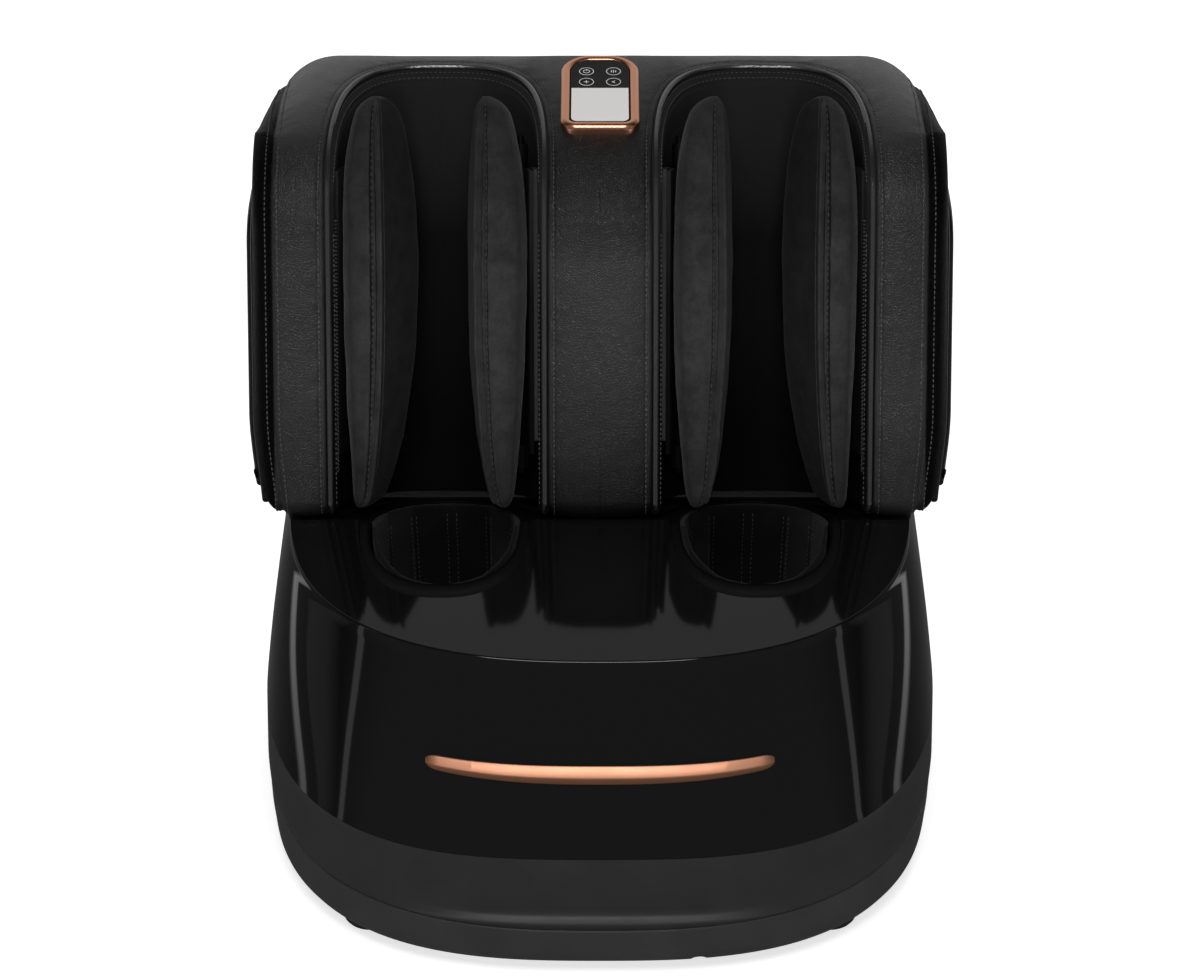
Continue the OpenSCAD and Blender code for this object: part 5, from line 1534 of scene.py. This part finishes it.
def stitch_tree():
    tree = bpy.data.node_groups.new("sewn_row", "GeometryNodeTree")
    face = tree.interface
    face.new_socket(name="Rows", in_out="INPUT", socket_type="NodeSocketGeometry")
    for name, default in STITCH_DEFAULTS.items():
        face.new_socket(name=name, in_out="INPUT", socket_type="NodeSocketFloat").default_value = default
    face.new_socket(name="Seed", in_out="INPUT", socket_type="NodeSocketInt").default_value = 7
    face.new_socket(name="Finish", in_out="INPUT", socket_type="NodeSocketMaterial")
    face.new_socket(name="Stitches", in_out="OUTPUT", socket_type="NodeSocketGeometry")
    group = SimpleNamespace(node_tree=tree)
    given = node(group, "NodeGroupInput").outputs
    curve = node(group, "GeometryNodeMeshToCurve", {"Mesh": given["Rows"]}).outputs["Curve"]
    row = {"Curve": curve, "Length": given["Spacing"]}
    spaced = node(group, "GeometryNodeResampleCurve", row, mode="LENGTH")
    bead = node(group, "GeometryNodeMeshUVSphere", {"Segments": 8, "Rings": 5, "Radius": 0.5})
    tangent = node(group, "GeometryNodeInputTangent").outputs["Tangent"]
    along = node(group, "FunctionNodeAlignEulerToVector", {"Vector": tangent}, axis="Z")
    least = calculate(group, "SUBTRACT", 1.0, given["Variation"])
    most = calculate(group, "ADD", 1.0, given["Variation"])
    limits = {2: least, 3: most, "Seed": given["Seed"]}
    rand = node(group, "FunctionNodeRandomValue", limits, data_type="FLOAT")
    length = calculate(group, "MULTIPLY", given["Length"], rand.outputs[1])
    sides = {"X": given["Thickness"], "Y": given["Thickness"], "Z": length}
    size = node(group, "ShaderNodeCombineXYZ", sides)
    placed = {"Points": spaced.outputs["Curve"], "Instance": bead.outputs["Mesh"],
              "Rotation": along.outputs["Rotation"], "Scale": size.outputs[0]}
    beads = node(group, "GeometryNodeInstanceOnPoints", placed).outputs["Instances"]
    real = node(group, "GeometryNodeRealizeInstances", {"Geometry": beads}).outputs["Geometry"]
    paint = node(group, "GeometryNodeSetMaterial", {"Geometry": real, "Material": given["Finish"]})
    node(group, "NodeGroupOutput", {"Stitches": paint.outputs["Geometry"]})
    return tree


SEWN = stitch_tree()


def sew(name, rows, body, slot, finish, **inputs):
    mesh = bpy.data.meshes.new(name)
    verts, edges = [], []
    for row in rows:
        row = resample(row, step=0.0015)
        edges += [(len(verts) + i, len(verts) + i + 1) for i in range(len(row) - 1)]
        verts += [tuple(p) for p in row]
    mesh.from_pydata(verts, edges, [])
    obj = bpy.data.objects.new(name, mesh)
    scene.collection.objects.link(obj)
    mod = obj.modifiers.new("sewn", "NODES")
    mod.node_group = SEWN
    given = dict(inputs, Finish=finish)
    for item in SEWN.interface.items_tree:
        if item.in_out == "INPUT" and item.name in given:
            mod[item.identifier] = given[item.name]
    obj.update_tag()
    evaluated(obj)
    for poly in obj.data.polygons:
        poly.use_smooth = True
    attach(obj, body)
    print(f"{name}: {len(rows)} rows, {len(obj.data.polygons)} faces")


# %% [markdown]
# ### Where the rows run
# Rows of stitches lie just outside each rim, on both sides of the outer seam, in the lining's band and
# in each pad's seam. The boots have their channels sewn too, and each well has two rows of zip teeth.

# %% Sewn rows
rows = []
for side in (-1, 1):
    seed = LEATHER_SEED[side]
    r = resample(rim_path, 900)
    t = np.gradient(r, axis=0)
    t /= np.linalg.norm(t, axis=1)[:, None]
    out = np.stack([-t[:, 1], t[:, 0]], 1)
    if (out[450] @ (np.array([WELL_X, SPLIT_S]) - r[450])) < 0:
        out = -out
    q = r + out * 6.0
    q = q[(q[:, 0] > 1) & (q[:, 1] < SPLIT_S - 3)]
    x, s = side * q[:, 0], q[:, 1]
    rows.append(calf_mm(skin(x, s, leather_height(x, s, seed) + 0.35)))
    for dx in (-4.2, 3.6):
        s = np.linspace(S_LOW + 4, SPLIT_S - 4, 900)
        x = np.full_like(s, side * (SEAM_X + dx))
        rows.append(calf_mm(skin(x, s, leather_height(x, s, seed) + 0.35)))
stitch = {"Spacing": 0.0036, "Length": 0.0027, "Thickness": 0.0009}
sew("leather_stitches", rows, "calf_unit", "leather", thread, **stitch)

rows = []
for side in (-1, 1):
    for edge in (3.4, 6.4):
        q = np.linspace(edge, WELL_LEN - edge, 700)
        d = np.interp(q, well_s, well[:, 1])
        arch = (q > edge * 1.5) & (q < WELL_LEN - edge * 1.5)
        w = skin_height(d) - 1 - edge / 0.8
        up = np.linspace(8, skin_height(0) - 2 - edge, 200)
        for q_end in (edge, WELL_LEN - edge):
            line = lining_point(np.full(200, q_end), w=up, side=side, lift=0.3)
            rows.append(calf_mm(line))
        rows.append(calf_mm(lining_point(q[arch], w=w[arch], side=side, lift=0.3)))
stitch = {"Spacing": 0.0034, "Length": 0.0024, "Thickness": 0.0008}
sew("lining_stitches", rows, "calf_unit", "velour", thread, **stitch)

teeth = []
ZIP_TOP = 205
for side in (-1, 1):
    for shift, start in ((9.4, 30.0), (11.0, 31.3)):
        w = np.linspace(start, ZIP_TOP, 400)
        line = lining_point(np.full(400, WELL_LEN - shift), w=w, side=side, lift=0.5)
        teeth.append(calf_mm(line))
tooth = {"Spacing": 0.0026, "Length": 0.0013, "Thickness": 0.0014, "Variation": 0.0}
sew("zip_teeth", teeth, "calf_unit", "velour", disc_black, **tooth)

for side, name in SIDES:
    grid = np.array(boot_rows(side))[4:70]
    centre = grid.mean(1, keepdims=True)
    inner = grid + (centre - grid) / np.linalg.norm(centre - grid, axis=2, keepdims=True) * 0.5
    channel = BOOT_POINTS // BOOT_SEAMS
    columns = [(channel * k + shift) % BOOT_POINTS for k in range(BOOT_SEAMS) for shift in (-2, 2)]
    rows = [base_mm(inner[:, column]) for column in columns]
    stitch = {"Spacing": 0.0042, "Length": 0.0028, "Thickness": 0.0008}
    sew("boot_stitches_" + name, rows, "base", "boot_fabric", thread, **stitch)

for index, (side_name, kind, side, inn) in enumerate(pad_list):
    pts = sewn_line(index, kind, np.linspace(0.02, 0.98, 500), SEAMS[kind][0], 0.35)
    pts[..., 0] = side * WELL_X + inn * pts[..., 0]
    label = side_name + "_" + kind
    stitch = {"Spacing": 0.0046, "Length": 0.0028, "Thickness": 0.0009}
    sew("pad_stitches_" + label, [calf_mm(pts)], "pad_" + label, "velour", pad_thread, **stitch)

# %% [markdown]
# ## Floor
# The floor is pale paper that also glows a little, so it comes out white and still takes the soft shadow
# under the machine. Glossy rays see something else there: a bright band on each side of the middle.

# %% Floor
bpy.ops.mesh.primitive_plane_add(size=12, location=(0, 0, -0.0005))
floor = bpy.context.object
floor.name = "studio_floor"
paper = bpy.data.materials.new("studio_paper")
paper.use_nodes = True
paper.node_tree.nodes.clear()
diffuse = node(paper, "ShaderNodeBsdfDiffuse", {"Color": (0.8, 0.8, 0.8, 1)}).outputs[0]
glow = node(paper, "ShaderNodeEmission", {"Color": (1, 1, 1, 1), "Strength": 0.72}).outputs[0]
lit_paper = node(paper, "ShaderNodeAddShader", {0: diffuse, 1: glow}).outputs[0]
where = node(paper, "ShaderNodeNewGeometry").outputs["Position"]
across = node(paper, "ShaderNodeSeparateXYZ", {0: where}).outputs["X"]
half_x = calculate(paper, "MULTIPLY", calculate(paper, "ABSOLUTE", across), 0.5)
bands = ramp(paper, half_x, [(0.36, 0.06), (0.43, 1.0), (0.53, 1.0), (0.575, 0.08)])
mirrored_paper = node(paper, "ShaderNodeEmission", {"Color": bands, "Strength": 1.25}).outputs[0]
glossy = node(paper, "ShaderNodeLightPath").outputs["Is Glossy Ray"]
seen_paper = mix_shaders(paper, glossy, lit_paper, mirrored_paper)
node(paper, "ShaderNodeOutputMaterial", {0: seen_paper})
floor.data.materials.append(paper)
